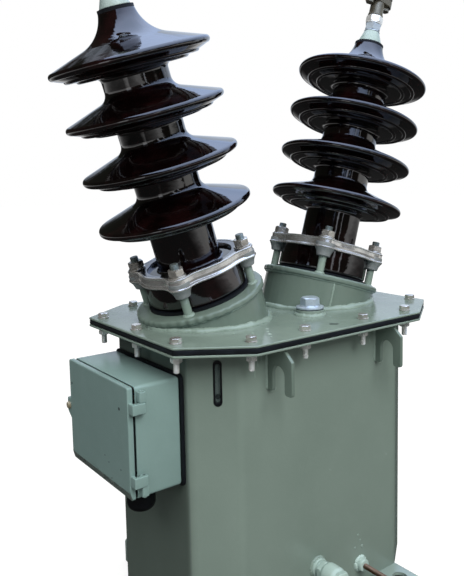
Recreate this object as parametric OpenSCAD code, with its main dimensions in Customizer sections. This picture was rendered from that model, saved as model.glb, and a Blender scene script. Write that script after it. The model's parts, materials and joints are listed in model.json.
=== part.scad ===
// Outdoor oil-filled voltage transformer: a bevelled tank with a bolted lid, two porcelain
// bushings raked outwards on welded turrets, and a terminal box with a hinged door.
// Origin: on the floor under the middle of the tank. +Z is up, -Y is the front with the drain
// and earth fittings, and -X is the end that carries the terminal box.

/* [Tank] */
// Length of the tank over its end walls
tank_l = 395; // [370:5:430]
// Width of the tank over its front and back walls
tank_w = 267; // [250:1:290]
// Length along X taken by each corner bevel
tank_cut_x = 54; // [45:1:62]
// Width along Y taken by each corner bevel
tank_cut_y = 40; // [34:1:46]
// Height of the folded tank wall
wall_h = 383; // [340:1:430]
// Sheet thickness of the tank wall
wall_t = 3; // [2:0.5:5]
// Outside radius of the wall's folds
bend_r = 18; // [8:1:24]
// Thickness of the bottom plate
bottom_t = 4; // [3:1:8]

/* [Lid] */
// How far the lid and the tank flange reach beyond each end wall
lid_over_x = 32.5; // [28:0.5:42]
// How far the lid and the tank flange reach beyond the front and back walls
lid_over_y = 41.5; // [36:0.5:50]
// Length along X taken by each lid bevel
lid_cut_x = 82; // [70:1:88]
// Width along Y taken by each lid bevel
lid_cut_y = 58; // [50:1:62]
// Rounding of the lid's corners
lid_corner_r = 5; // [2:1:10]
// Thickness of the lid plate
lid_t = 3; // [2:0.5:6]
// Thickness of the cork and rubber gasket under the lid
gasket_t = 7; // [4:0.5:10]
// Thickness of the tank flange
flange_t = 3; // [2:0.5:6]
// Width of hole left in the lid under each turret for the leads
lead_hole_d = 86; // [60:1:90]

/* [Lid bolts] */
// Distance from the lid's end to its bolts
bolt_end_in = 15; // [13:1:17]
// Distance from the lid's long side to its bolts
bolt_side_in = 22.6; // [18:0.2:24]
// Distance from the lid's long side to the outer end bolts
bolt_end_side = 75; // [73:1:85]
// Distance from the lid's end to the outer side bolts
bolt_side_end = 89.4; // [86:0.2:95]
// Distance between the inner side bolts
bolt_span = 106.8; // [90:0.2:120]
// Shank diameter of the lid bolts
bolt_d = 8; // [6:1:10]
// Height of the lid bolts' heads
bolt_head_h = 5.6; // [4:0.2:7]
// Thickness of the lid bolts' washers
washer_t = 1.6; // [1:0.2:2.4]
// Thickness of the spring washers over their nuts
spring_t = 2.6; // [1.6:0.2:3.4]
// Length of the lid bolts under the lid's top
bolt_l = 36.4; // [32:0.2:42]
// Radial clearance of bolts and studs in their holes
bolt_gap = 0.5; // [0.3:0.1:1]

/* [Feet] */
// Height of the foot channels
foot_h = 38; // [30:1:50]
// Width of the foot channels
foot_w = 50; // [44:1:60]
// Sheet thickness of the foot channels
foot_t = 5; // [3:0.5:7]
// How far the foot channels reach out beyond the front and back walls
foot_over = 64.5; // [56:0.5:80]
// Distance from the tank's end to the foot channel's side
foot_in = 50; // [40:0.5:60]
// Distance from the foot channel's end to its anchor hole
anchor_in = 36; // [22:1:42]
// Diameter of the anchor holes
anchor_d = 22; // [14:1:24]

/* [Turrets] */
// Rake of the bushings outwards from the vertical
rake = 16.9; // [12:0.1:18]
// Distance from the tank's middle to each bushing axis at the lid
bushing_x = 104.2; // [100:0.2:108]
// Outside radius of the turret tube
turret_r = 86.5; // [84:0.5:88]
// Wall thickness of the turret tube
turret_t = 4; // [3:0.5:6]
// Height of the turret face above the lid, along the bushing axis
turret_h = 38; // [37:0.5:44]
// How far the turret's top ring stands out from its tube
ring_out = 4.5; // [2:0.5:6]
// Thickness of the turret's top ring
ring_t = 9; // [6:0.5:10]
// Rounding of the turret's top ring
ring_edge = 3.5; // [1:0.5:4]

/* [Porcelain] */
// Thickness of the rubber ring under the porcelain
seat_t = 4; // [3:0.5:6]
// How far the rubber ring shows outside the porcelain
seat_out = 2.5; // [1:0.5:4]
// Radius of the porcelain's foot
foot_r = 69.5; // [66:0.5:69.5]
// Height of the porcelain's foot
foot_rise = 44; // [38:1:50]
// Rounding of the porcelain's foot
shoulder_r = 5; // [2:0.5:7]
// Radius of the hollow between foot and core
shoulder_fillet = 4; // [2:0.5:6]
// Radius of the porcelain's core
core_r = 44; // [40:0.5:46]
// Clearance of the stem in the porcelain's bore
bore_gap = 2; // [1:0.5:6]
// Radius of the sheds
shed_r = 105; // [95:1:110]
// Number of sheds
sheds = 4; // [2:1:5]
// Distance from one shed to the next
shed_pitch = 68.5; // [60:0.5:80]
// Distance from the porcelain's base to its lowest rim
first_shed = 119; // [110:1:130]
// Thickness of the shed's rolled rim
rim_t = 10; // [8:0.5:12]
// Slope of a shed's upper face
shed_slope = 19; // [14:1:24]
// Slope of a shed's under face beside the rim
under_slope = 24; // [16:1:28]
// Radius between the core and a shed's upper face
shed_fillet = 14; // [8:1:18]
// Radius of the hollow under each shed's root
root_r = 6; // [4:1:10]
// Depth of the drip ribs under each shed
rib_h = 2; // [1:0.5:3]
// Rounding of the drip ribs
rib_r = 3.5; // [3:0.5:5]
// Distance from one drip rib to the next, and from the outer one to the rim
rib_pitch = 15; // [12:1:20]
// Radius of the porcelain's neck
neck_r = 23.5; // [22:0.5:26]
// Height of the neck above the top rim
neck_rise = 58.5; // [50:0.5:70]

/* [Clamp rings] */
// Half the distance between neighbouring clamp studs
stud_at = 54; // [53.6:0.2:56]
// Diameter of the clamp studs
stud_d = 12; // [10:1:12]
// Length of the clamp studs
stud_l = 72; // [68:1:80]
// Radius of the ring's corners about the studs
lobe_r = 13; // [12:0.5:15]
// Distance from the axis to the middle of the ring's sides
waist = 61; // [58:0.5:64]
// Thickness of the clamp ring's plate
clamp_t = 6; // [4:0.5:8]
// Depth of the skirt under the plate
skirt_h = 6; // [4:0.5:8]
// How far the rolled lips stand out
lip = 1.6; // [0.5:0.1:2.5]
// Thickness of the rolled lips
lip_t = 2; // [1.5:0.5:3]
// Lower radius of the tapered bosses under the corners
boss_r = 8.5; // [8:0.5:10]
// Length of the tapered bosses under the corners
boss_h = 19; // [14:1:22]
// Clearance between the clamp's skirt and the porcelain's foot
boss_gap = 0.8; // [0.3:0.1:1.5]
// Clearance between the clamp ring and the porcelain's core
core_gap = 7; // [6.5:0.5:9]
// Thickness of the washers on the clamp studs
stud_washer_t = 2; // [1.5:0.5:3]

/* [Terminals] */
// Thickness of the rubber ring on the neck
cap_seat_t = 4.5; // [3:0.5:6]
// Bottom radius of the cone cap
cap_r1 = 20.5; // [19:0.5:22]
// Top radius of the cone cap
cap_r2 = 12.5; // [12:0.5:14]
// Height of the cone cap
cap_h = 21; // [16:1:28]
// Diameter of the terminal stem
stem_d = 16; // [12:1:18]
// Width across flats of the stem nuts
stem_nut = 24; // [22:1:27]
// Height of a stem nut
stem_nut_h = 12.5; // [10:0.5:15]
// Thickness of a stem washer
stem_washer_t = 1.5; // [1:0.5:3]
// Radius of a stem washer
stem_washer_r = 13; // [12.5:0.5:15]
// Radius of the connector's barrel
barrel_r = 11.5; // [11:0.5:13]
// Length of the connector's barrel
barrel_h = 23; // [18:1:30]
// Length of the collar at the barrel's foot
barrel_collar_h = 3; // [2:0.5:6]
// How far that collar stands out
barrel_collar_out = 1; // [0.5:0.5:2]
// Radius of the conductor that the connector takes
wire_r = 7; // [5:0.5:9]
// Diameter of the connector's bolts
wire_bolt_d = 8; // [6:1:10]
// Clearance between the bolts' heads and the connector's barrel
wire_bolt_gap = 0.6; // [0.3:0.1:2]
// Radius of the connector's lugs
lug_r = 9.5; // [9:0.5:11]
// Depth of the connector along the conductor
saddle_w = 24; // [20:1:30]
// Height of the connector's saddle
saddle_h = 11; // [10:0.5:14]
// Height of the keeper
keeper_h = 9; // [8.5:0.5:12]
// Open gap between saddle and keeper
keeper_gap = 3; // [1:0.5:4]

/* [Lifting hooks] */
// Distance of the hooks from the tank's middle
hook_x = 100; // [90:1:110]
// Thickness of the hook plates
hook_t = 5; // [4:0.5:8]
// How far a hook stands out from the tank wall
hook_out = 49; // [46:1:54]
// Height of a hook
hook_h = 59; // [54:1:68]
// Width of the slot that takes the sling
slot_w = 23; // [18:1:24]
// Distance from the tank wall to the slot
slot_in = 11.7; // [10:0.1:14]
// Depth of plate over the slot
slot_over = 24; // [20:1:28]
// Length of the bevel at a hook's outer corner
hook_cut_x = 17.5; // [14:0.5:22]
// Height of the bevel at a hook's outer corner
hook_cut_y = 15; // [12:0.5:20]
// Rounding of the ends of a hook's legs
hook_r = 4; // [2:0.5:4.5]

/* [Filler] */
// Distance of the filler from the lid's middle, along X
filler_x = 20.6; // [0:0.2:30]
// Distance of the filler from the lid's middle, towards the front
filler_y = 79.8; // [76:0.2:90]
// Radius of the filler's welded boss
filler_r = 20; // [17:0.5:21]
// Height of the filler's welded boss
filler_h = 9; // [6:1:14]
// Width across flats of the filler plug
plug_af = 24; // [20:1:27]
// Height of the plug's hexagon
plug_h = 13; // [9:1:16]
// Thickness of the plug's collar
collar_t = 3; // [2:0.5:5]

/* [Oil gauge] */
// Width of the gauge's black surround
gauge_w = 11; // [10:0.5:14]
// Height of the gauge's black surround
gauge_h = 59; // [50:1:80]
// Distance from the lid's top down to the gauge
gauge_drop = 26; // [22:1:60]
// Shift of the gauge from the middle of the bevel towards the front
gauge_shift = 4.8; // [0:0.1:6]
// Width of the gauge's surround beside the glass
gauge_rim = 2.2; // [1.5:0.1:3]
// Height of the gauge's surround over and under the glass
gauge_end = 4.5; // [2:0.5:8]
// How far the surround stands out of the wall
gauge_out = 1; // [0.5:0.1:2]
// Depth of the gauge inside the wall's outer face
gauge_depth = 6; // [5:0.5:12]
// Thickness of the gauge's back
gauge_back_t = 1.5; // [1:0.5:3]
// Thickness of the gauge's glass, which also lies that deep
glass_t = 1; // [0.5:0.1:2]
// Height of the float over the gauge's lower end
float_rise = 4; // [0:0.5:20]

/* [Terminal box] */
// Width of the box across the tank
box_w = 173; // [160:1:176]
// Height of the box
box_h = 140; // [120:1:180]
// Depth of the box from its gasket to its mouth
box_d = 62; // [54:1:80]
// Shift of the box towards the back of the tank
box_shift = 3; // [0:0.5:4]
// Distance from the lid's top down to the box
box_drop = 47.5; // [42:0.5:70]
// Sheet thickness of the box and its door
box_t = 2; // [1.5:0.5:3]
// Rounding of the box's corners
box_r = 5; // [3:0.5:8]
// Thickness of the black gasket behind the box
backing_t = 4; // [2:0.5:6]
// How far the black gasket stands out round the box
backing_out = 3; // [1:0.5:4]
// Gap between the box's mouth and its door
door_gap = 3; // [2:0.5:4]
// Depth of the folded door
door_d = 7; // [6:0.5:10]
// Radius of the hinge pins
pin_r = 2; // [1.5:0.25:2.5]
// Distance from the box's side to the hinge axis
hinge_out = 5.5; // [5:0.1:7]
// Distance from the box's mouth back to the hinge axis
hinge_back = 5.8; // [5:0.1:8]
// Thickness of the hinge leaves over their knuckles
leaf_t = 1.5; // [1:0.5:2]
// Height of each hinge leaf
leaf_h = 13; // [10:0.5:18]
// Distance from the box's top or bottom to the first leaf
leaf_in = 5.5; // [3:0.5:12]
// Height of the lock screw over the middle of the box
lock_up = 3; // [-20:1:20]
// How far the lock's ear stands out from the door
ear_w = 13; // [11:1:18]
// Reach of the lock's ear above its screw
ear_up = 10.5; // [7:0.5:16]
// Reach of the lock's ear below its screw, beside the door
ear_down = 19.5; // [10:0.5:24]
// Reach of the lock's ear below its screw, at its end
ear_end = 9; // [7:0.5:10]
// Radius of the door's hinge knuckles
leaf_r = 4.5; // [4.2:0.1:4.8]
// Clearance of the hinge pins and the lock screw in the door
pin_gap = 0.08; // [0.05:0.01:0.15]
// Radius of the hinge pins' heads
pin_head_r = 3.2; // [3:0.1:4]
// Thickness of the hinge pins' heads
pin_head_t = 1.5; // [1:0.5:2.5]
// Step from the door's face back to its leaves and ear
door_step = 1; // [0.5:0.5:2]
// Gap between the door's gasket and the box
gasket_gap = 0.3; // [0.2:0.1:0.6]
// Width of the door's gasket
gasket_w = 4; // [3:0.5:6]
// Radius of the lock screw
lock_r = 2.5; // [2:0.25:3]
// Radius of the lock screw's head
lock_head_r = 4.5; // [4:0.25:5.5]
// Thickness of the lock screw's head
lock_head_t = 4; // [2:0.5:5]
// Thickness of the terminal board
board_t = 10; // [6:1:14]
// Width of the terminal board
board_w = 130; // [110:2:150]
// Height of the terminal board
board_h = 52; // [40:2:70]
// Distance from the top of the box to the terminal board
board_in = 12; // [8:1:20]
// Number of terminal studs on the board
board_studs = 4; // [2:1:6]
// Diameter of the terminal studs
board_stud_d = 6; // [4:1:8]
// How far the terminal studs stand out from the board
board_stud_l = 20; // [14:1:26]
// Radius of the cable gland
gland_r = 18.5; // [15:0.5:20]
// Length of the cable gland under the box
gland_h = 41; // [24:1:46]
// Radius of the cable gland's bore
gland_bore = 8; // [6:0.5:9]
// Rounding of the cable gland's lower end
gland_edge = 11; // [4:1:12]
// Wall of the cable gland's neck in the box's bottom
gland_neck_t = 4; // [3:0.5:6]
// Height of that neck inside the box
gland_collar_h = 3; // [2:0.5:6]
// Distance of the gland from the middle of the box, towards the front
gland_off = 34; // [20:1:50]

/* [Drain and earth] */
// Distance of the drain from the tank's middle, towards the terminal box
drain_x = 17; // [0:1:50]
// Height of the drain over the tank's bottom
drain_z = 56; // [50:1:80]
// Radius of the drain's welded pipe
drain_r = 9; // [7:0.5:12]
// Radius of the collar at the pipe's root
drain_flange_r = 13; // [12:0.5:16]
// Thickness of that collar
drain_collar_h = 6; // [4:0.5:10]
// Length of the drain's pipe
drain_l = 10; // [8:1:20]
// Radius of the drain valve's body
valve_r = 15; // [13:0.5:18]
// Length of the drain valve's body
valve_l = 24; // [16:1:26]
// Width across flats of the drain valve's nuts
valve_af = 24; // [20:1:28]
// Thickness of the drain valve's nuts
valve_nut_t = 8; // [6:0.5:10]
// Distance of the earth terminal from the tank's middle, away from the terminal box
earth_x = 67; // [50:1:80]
// Height of the earth terminal over the tank's bottom
earth_z = 29; // [20:1:40]
// Radius of the earth boss
earth_r = 9; // [8:0.5:12]
// Length of the earth boss
earth_boss_l = 10; // [6:1:14]
// Diameter of the earth stud
earth_d = 8; // [6:1:10]
// Length of the earth stud outside its boss
earth_l = 48; // [40:1:50]

/* [Hidden] */
$fn = 64;
lid_l = tank_l + 2 * lid_over_x;
lid_w = tank_w + 2 * lid_over_y;
foot_l = tank_w + 2 * foot_over;
foot_x = tank_l / 2 - foot_in - foot_w / 2;
wall_z0 = foot_h + bottom_t;
flange_z = wall_z0 + wall_h;
gasket_z = flange_z + flange_t;
lid_z = gasket_z + gasket_t;
lid_top = lid_z + lid_t;
// play between pieces that are bolted or glued into each other
seat_gap = 0.1;

// stations along a bushing's axis, measured from the lid's top
base_s = turret_h + seat_t;
shoulder_s = base_s + foot_rise;
top_rim_s = base_s + first_shed + (sheds - 1) * shed_pitch;
bore_r = stem_d / 2 + bore_gap;
wire_bolt_x = barrel_r + wire_bolt_gap + nut_af(wire_bolt_d) / 2;
neck_s = top_rim_s + neck_rise;
cap_s = neck_s + cap_seat_t;
nut_s = cap_s + cap_h;
barrel_s = nut_s + 2 * (stem_washer_t + stem_nut_h);
saddle_s = barrel_s + barrel_h;
wire_s = saddle_s + saddle_h + keeper_gap / 2;
keeper_s = saddle_s + saddle_h + keeper_gap;

// faces of the terminal box
box_x = -tank_l / 2 - backing_t;
mouth_x = box_x - box_d;
door_x = mouth_x - door_gap;
box_y0 = box_shift - box_w / 2;
box_y1 = box_shift + box_w / 2;
box_z1 = lid_top - box_drop;
box_z0 = box_z1 - box_h;
hinge_at = [mouth_x + hinge_back, box_y0 - hinge_out];
// each hinge: the lower end of its door leaf, and the side on which its box leaf lies
leaves = [[box_z1 - leaf_in - 2 * leaf_h, 1], [box_z0 + leaf_in + leaf_h, -1]];
lock_at = [box_y1 + ear_w / 2, box_z0 + box_h / 2 + lock_up];
gland_at = [(box_x + mouth_x) / 2, box_shift - gland_off];
gland_neck = gland_bore + gland_neck_t;

function unit(v) = v / norm(v);
function left_of(v) = [-v.y, v.x];
// point inside the corner q of the path p, q, r that lies d from both of its edges
function inside(p, q, r, d) =
    let (a = unit(q - p), b = unit(r - q), half = atan2(cross(a, b), a * b) / 2)
    q - a * d * tan(half) + left_of(a) * d;
function around(pts, i) = pts[(i + len(pts)) % len(pts)];
function inset(pts, d) =
    [for (i = [0 : len(pts) - 1]) inside(around(pts, i - 1), pts[i], around(pts, i + 1), d)];
// the two points where a corner of radius r leaves and meets its edges
function tangents(p, q, r, rad) =
    let (a = unit(q - p), b = unit(r - q), t = rad * tan(atan2(cross(a, b), a * b) / 2))
    [q - a * t, q + b * t];
function octagon(l, w, cx, cy) = [
    for (s = [[1, -1], [1, 1], [-1, 1], [-1, -1]])
        let (ends = [[s.x * (l / 2 - cx), s.y * w / 2], [s.x * l / 2, s.y * (w / 2 - cy)]])
        each s.x * s.y < 0 ? ends : [ends[1], ends[0]]
];
function rectangle(x0, y0, x1, y1) = [[x0, y0], [x1, y0], [x1, y1], [x0, y1]];
// width across flats and height of a nut or bolt head for the thread d
function nut_af(d) = 1.6 * d;
function nut_h(d) = 0.8 * d;
function polar(r, a) = r * [cos(a), sin(a)];

tank_outline = octagon(tank_l, tank_w, tank_cut_x, tank_cut_y);
lid_outline = octagon(lid_l, lid_w, lid_cut_x, lid_cut_y);
bolt_places = [
    for (sx = [-1, 1])
        each concat([[sx * (lid_l / 2 - bolt_end_in), 0]],
            [for (sy = [-1, 1])
                each [
                    [sx * (lid_l / 2 - bolt_end_in), sy * (lid_w / 2 - bolt_end_side)],
                    [sx * bolt_span / 2, sy * (lid_w / 2 - bolt_side_in)],
                    [sx * (lid_l / 2 - bolt_side_end), sy * (lid_w / 2 - bolt_side_in)]
                ]])
];

// convex outline with every corner rounded to the radius rad
module rounded(pts, rad) {
    polygon([
        for (i = [0 : len(pts) - 1])
            each tangents(around(pts, i - 1), pts[i], around(pts, i + 1), rad)
    ]);
    for (c = inset(pts, rad))
        translate(c) circle(rad);
}

module slot_shape(w, h) {
    square([w, h - w], center = true);
    for (s = [-1, 1])
        translate([0, s * (h - w) / 2]) circle(d = w);
}

module hexagon(af, h) {
    cylinder(d = af / cos(30), h = h, $fn = 6);
}

// frame whose Z runs up a bushing's axis from the lid's top; side is -1 or 1
module on_bushing(side) {
    translate([side * bushing_x, 0, lid_top]) rotate([0, side * rake, 0]) children();
}

module at_studs() {
    for (x = [-1, 1], y = [-1, 1])
        translate([x * stud_at, y * stud_at, 0]) children();
}

module bolt_holes(z, t) {
    for (p = bolt_places)
        translate([p.x, p.y, z - 1]) cylinder(d = bolt_d + 2 * bolt_gap, h = t + 2);
}

module flange_plate(z, t) {
    difference() {
        translate([0, 0, z]) linear_extrude(t)
            difference() {
                rounded(lid_outline, lid_corner_r);
                rounded(inset(tank_outline, wall_t), bend_r - wall_t);
            }
        bolt_holes(z, t);
    }
}

module foot(side) {
    color("#7d9088") translate([side * foot_x, 0, 0])
        difference() {
            rotate([90, 0, 0]) linear_extrude(foot_l, center = true)
                difference() {
                    rounded(rectangle(-foot_w / 2, -foot_t, foot_w / 2, foot_h), foot_t);
                    translate([foot_t - foot_w / 2, -foot_t])
                        square([foot_w - 2 * foot_t, foot_h]);
                    translate([-foot_w, -2 * foot_t]) square([2 * foot_w, 2 * foot_t]);
                }
            for (y = [-1, 1])
                translate([0, y * (foot_l / 2 - anchor_in), foot_h - 2 * foot_t])
                    cylinder(d = anchor_d, h = 3 * foot_t);
        }
}

module tank_bottom() {
    color("#6f8078") translate([0, 0, foot_h]) linear_extrude(bottom_t)
        rounded(tank_outline, bend_r);
}

module tank_wall() {
    color("#73847b") difference() {
        translate([0, 0, wall_z0]) linear_extrude(wall_h)
            difference() {
                rounded(tank_outline, bend_r);
                rounded(inset(tank_outline, wall_t), bend_r - wall_t);
            }
        on_gauge() linear_extrude(4 * wall_t, center = true)
            slot_shape(gauge_w + 2 * seat_gap, gauge_h + 2 * seat_gap);
    }
}

module tank_flange() {
    color("#7d9088") flange_plate(flange_z, flange_t);
}

module lid_gasket() {
    color("#17191c") flange_plate(gasket_z, gasket_t);
}

module lid() {
    color("#7d9088") difference() {
        translate([0, 0, lid_z]) linear_extrude(lid_t) rounded(lid_outline, lid_corner_r);
        bolt_holes(lid_z, lid_t);
        for (x = [-bushing_x, bushing_x])
            translate([x, 0, lid_z - 1]) cylinder(d = lead_hole_d, h = lid_t + 2);
    }
}

module lid_bolts() {
    under = flange_z - lid_top - washer_t;
    color("#a9a7a3") for (p = bolt_places)
        translate([p.x, p.y, lid_top]) {
            cylinder(r = bolt_d, h = washer_t);
            translate([0, 0, washer_t]) hexagon(nut_af(bolt_d), bolt_head_h);
            translate([0, 0, -bolt_l]) cylinder(d = bolt_d, h = bolt_l);
            translate([0, 0, under]) cylinder(r = bolt_d, h = washer_t);
            translate([0, 0, under - spring_t]) cylinder(d = 1.7 * bolt_d, h = spring_t);
            translate([0, 0, under - spring_t - nut_h(bolt_d)])
                hexagon(nut_af(bolt_d), nut_h(bolt_d));
        }
}

// part right of the axis of a rectangle whose outer corners are rounded, for a turned piece
module turned_band(r0, r1, s0, s1, edge) {
    intersection() {
        rounded(rectangle(-r1, s0, r1, s1), edge);
        translate([r0, s0]) square([r1 - r0, s1 - s0]);
    }
}

module turret(side) {
    color("#788a82") intersection() {
        translate([-lid_l / 2, -lid_w / 2, lid_top]) cube([lid_l, lid_w, lid_w]);
        on_bushing(side) rotate_extrude() {
            translate([turret_r - turret_t, -turret_r])
                square([turret_t, turret_h + turret_r - ring_t + 1]);
            turned_band(lead_hole_d / 2, turret_r + ring_out, turret_h - ring_t, turret_h, ring_edge);
        }
    }
}

module seat_ring(side) {
    color("#15171a") on_bushing(side) difference() {
        translate([0, 0, turret_h]) cylinder(r = foot_r + seat_out, h = seat_t);
        translate([0, 0, turret_h - 1]) cylinder(d = lead_hole_d, h = seat_t + 2);
        at_studs() cylinder(d = stud_d + 2 * bolt_gap, h = stud_l + turret_h);
    }
}

// station where the upper face of the shed at s would meet the radius r
function upper_face(s, r) =
    s + rim_t / 2 / cos(shed_slope) + (shed_r - rim_t / 2 - r) * tan(shed_slope);

// hollow of radius f round c, from a shed's upper face to the core or neck that it meets at
// the angle a, with all that lies inside it
module hollow(c, f, a) {
    start = c - polar(f, 90 - shed_slope);
    end = c + polar(f, a);
    difference() {
        polygon([[0, start.y], start, c, end, [0, end.y]]);
        translate(c) circle(f, $fn = 128);
    }
}

// half profile of one shed: bulged under face with drip ribs, rolled rim and sloping upper face
module shed(s) {
    e = rim_t / 2;
    inner = core_r - e;
    reach = shed_r - e;
    root = core_r + root_r;
    bulge_r = (reach - root) / sin(under_slope);
    bulge = [root, s - e + bulge_r * cos(under_slope)];
    low = bulge.y - bulge_r;
    translate([reach, s]) circle(e);
    intersection() {
        translate(bulge) circle(bulge_r, $fn = 256);
        polygon([
            [inner, low - 1], [reach, low - 1], [reach, s],
            [reach, s] + polar(e, 90 - shed_slope), [inner, upper_face(s, inner)]
        ]);
    }
    difference() {
        translate([inner, low - root_r]) square([root - inner, root_r + e]);
        translate([root, low - root_r]) circle(root_r);
    }
    for (i = [1, 2])
        let (r = reach - i * rib_pitch)
        translate([r, bulge.y - sqrt(bulge_r ^ 2 - (r - root) ^ 2) + rib_r - rib_h])
            circle(rib_r);
}

// hollow flare that carries the top shed's upper face into the neck
module neck_flare(s) {
    lean = 10;
    r = (neck_s - upper_face(s, neck_r))
        / (cos(shed_slope) - sin(lean) - (cos(lean) - sin(shed_slope)) * tan(shed_slope));
    hollow([neck_r, neck_s] + polar(r, lean), r, 180 + lean);
}

module porcelain(side) {
    color("#241412") on_bushing(side) rotate_extrude() difference() {
        union() {
            turned_band(0, foot_r, base_s, shoulder_s, shoulder_r);
            translate([0, base_s]) square([core_r, top_rim_s - base_s]);
            difference() {
                translate([0, shoulder_s - 1]) square([core_r + shoulder_fillet, shoulder_fillet + 1]);
                translate([core_r, shoulder_s] + shoulder_fillet * [1, 1]) circle(shoulder_fillet);
            }
            for (i = [0 : sheds - 1])
                let (s = base_s + first_shed + i * shed_pitch) {
                    shed(s);
                    if (i < sheds - 1)
                        hollow([core_r, upper_face(s, core_r)]
                            + shed_fillet * [1, tan(45 - shed_slope / 2)], shed_fillet, 180);
                }
            neck_flare(top_rim_s);
        }
        translate([0, base_s - 1]) square([bore_r, neck_s - base_s + 2]);
    }
}

// square with lobed corners round the studs and sides hollowed to the waist
module clamp_outline(out) {
    r = lobe_r + out;
    w = waist + out;
    big = (stud_at ^ 2 + (w - stud_at) ^ 2 - r ^ 2) / (2 * (r - w + stud_at));
    difference() {
        union() {
            square([2 * (stud_at + r), 2 * stud_at], center = true);
            square([2 * stud_at, 2 * (stud_at + r)], center = true);
            at_studs() circle(r);
        }
        for (a = [0 : 90 : 270])
            rotate(a) translate([w + big, 0]) circle(big, $fn = 128);
    }
}

module clamp_ring(side) {
    color("#c3c6c8") on_bushing(side) difference() {
        union() {
            translate([0, 0, shoulder_s - skirt_h]) {
                linear_extrude(clamp_t + skirt_h) clamp_outline(-lip);
                linear_extrude(lip_t) clamp_outline(0);
            }
            translate([0, 0, shoulder_s + clamp_t - lip_t]) linear_extrude(lip_t)
                clamp_outline(-lip / 2);
            at_studs() translate([0, 0, shoulder_s - boss_h])
                cylinder(r1 = boss_r, r2 = lobe_r - lip - seat_gap, h = boss_h);
        }
        // room for the porcelain's foot and core
        translate([0, 0, -1]) cylinder(r = foot_r + boss_gap, h = shoulder_s + 1);
        cylinder(r = core_r + core_gap, h = shoulder_s + 2 * clamp_t);
        at_studs() cylinder(d = stud_d + 2 * bolt_gap, h = shoulder_s + 2 * clamp_t);
    }
}

module clamp_studs(side) {
    top = shoulder_s + clamp_t;
    color("#8d9493") on_bushing(side) at_studs() {
        translate([0, 0, turret_h]) cylinder(d = stud_d, h = stud_l);
        translate([0, 0, top]) cylinder(r = stud_d, h = stud_washer_t);
        translate([0, 0, top + stud_washer_t]) hexagon(nut_af(stud_d), nut_h(stud_d));
    }
}

module cap_ring(side) {
    color("#111214") on_bushing(side) translate([0, 0, neck_s]) difference() {
        cylinder(r = neck_r, h = cap_seat_t);
        translate([0, 0, -1]) cylinder(d = stem_d + 2 * bolt_gap, h = cap_seat_t + 2);
    }
}

module cap(side) {
    color("#a9bdb8") on_bushing(side) translate([0, 0, cap_s]) difference() {
        cylinder(r1 = cap_r1, r2 = cap_r2, h = cap_h);
        translate([0, 0, -1]) cylinder(d = stem_d + 2 * bolt_gap, h = cap_h + 2);
    }
}

module stem(side) {
    step = stem_washer_t + stem_nut_h;
    color("#b7b8b6") on_bushing(side) {
        translate([0, 0, base_s]) cylinder(d = stem_d, h = saddle_s - base_s);
        for (i = [0, 1])
            translate([0, 0, nut_s + i * step]) {
                cylinder(r = stem_washer_r, h = stem_washer_t);
                translate([0, 0, stem_washer_t]) hexagon(stem_nut, stem_nut_h);
            }
    }
}

module at_wire_bolts() {
    for (x = [-1, 1])
        translate([x * wire_bolt_x, 0, 0]) children();
}

module saddle_outline() {
    square([2 * wire_bolt_x, saddle_w], center = true);
    at_wire_bolts() circle(lug_r);
}

module wire_bore() {
    translate([0, 0, wire_s]) rotate([90, 0, 0])
        cylinder(r = wire_r, h = 2 * saddle_w, center = true);
}

module connector(side) {
    color("#7c7a72") on_bushing(side) difference() {
        union() {
            translate([0, 0, barrel_s]) {
                cylinder(r = barrel_r, h = barrel_h);
                cylinder(r = barrel_r + barrel_collar_out, h = barrel_collar_h);
            }
            translate([0, 0, saddle_s]) linear_extrude(saddle_h) saddle_outline();
        }
        translate([0, 0, barrel_s - 1]) cylinder(d = stem_d + 2 * seat_gap, h = barrel_h + 1);
        wire_bore();
        at_wire_bolts() translate([0, 0, saddle_s - 1])
            cylinder(d = wire_bolt_d + 2 * bolt_gap, h = saddle_h + 2);
    }
}

module keeper(side) {
    top = keeper_s + keeper_h;
    head = nut_h(wire_bolt_d);
    color("#86847b") on_bushing(side) {
        difference() {
            translate([0, 0, keeper_s]) linear_extrude(keeper_h) saddle_outline();
            wire_bore();
        }
        at_wire_bolts() {
            translate([0, 0, saddle_s]) cylinder(d = wire_bolt_d, h = keeper_s - saddle_s + 1);
            translate([0, 0, saddle_s - head]) rotate(30) hexagon(nut_af(wire_bolt_d), head);
            translate([0, 0, top]) rotate(30) hexagon(nut_af(wire_bolt_d), head);
            translate([0, 0, top]) cylinder(d = wire_bolt_d, h = head + wire_bolt_d / 2);
        }
    }
}

module hook_outline() {
    throat = slot_over + slot_w / 2;
    difference() {
        polygon([
            [0, 0], [0, -throat], [hook_out, -throat], [hook_out, -hook_cut_y],
            [hook_out - hook_cut_x, 0]
        ]);
        translate([slot_in + slot_w / 2, -throat]) circle(d = slot_w);
    }
    for (leg = [[0, slot_in], [slot_in + slot_w, hook_out]])
        rounded(rectangle(leg[0], -hook_h, leg[1], -slot_over), hook_r);
}

module hooks() {
    color("#6d8077") for (x = [-1, 1], turn = [0, 180])
        rotate(turn) translate([x * hook_x, -tank_w / 2, flange_z])
            rotate([90, 0, -90]) linear_extrude(hook_t, center = true) hook_outline();
}

module filler_boss() {
    color("#7d9088") translate([filler_x, -filler_y, lid_top])
        cylinder(r = filler_r, h = filler_h);
}

module filler_plug() {
    color("#b4bbc0") translate([filler_x, -filler_y, lid_top + filler_h]) {
        cylinder(r = filler_r, h = collar_t);
        translate([0, 0, collar_t]) hexagon(plug_af, plug_h);
    }
}

// frame on the bevel's outer face at the gauge's middle, with Z out of the wall and Y upwards
module on_gauge() {
    out = atan2(-tank_cut_x, -tank_cut_y);
    translate([
        -tank_l / 2 + tank_cut_x / 2, -tank_w / 2 + tank_cut_y / 2,
        lid_top - gauge_drop - gauge_h / 2
    ])
        rotate([90, 0, out + 90]) translate([gauge_shift, 0, 0]) children();
}

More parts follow.
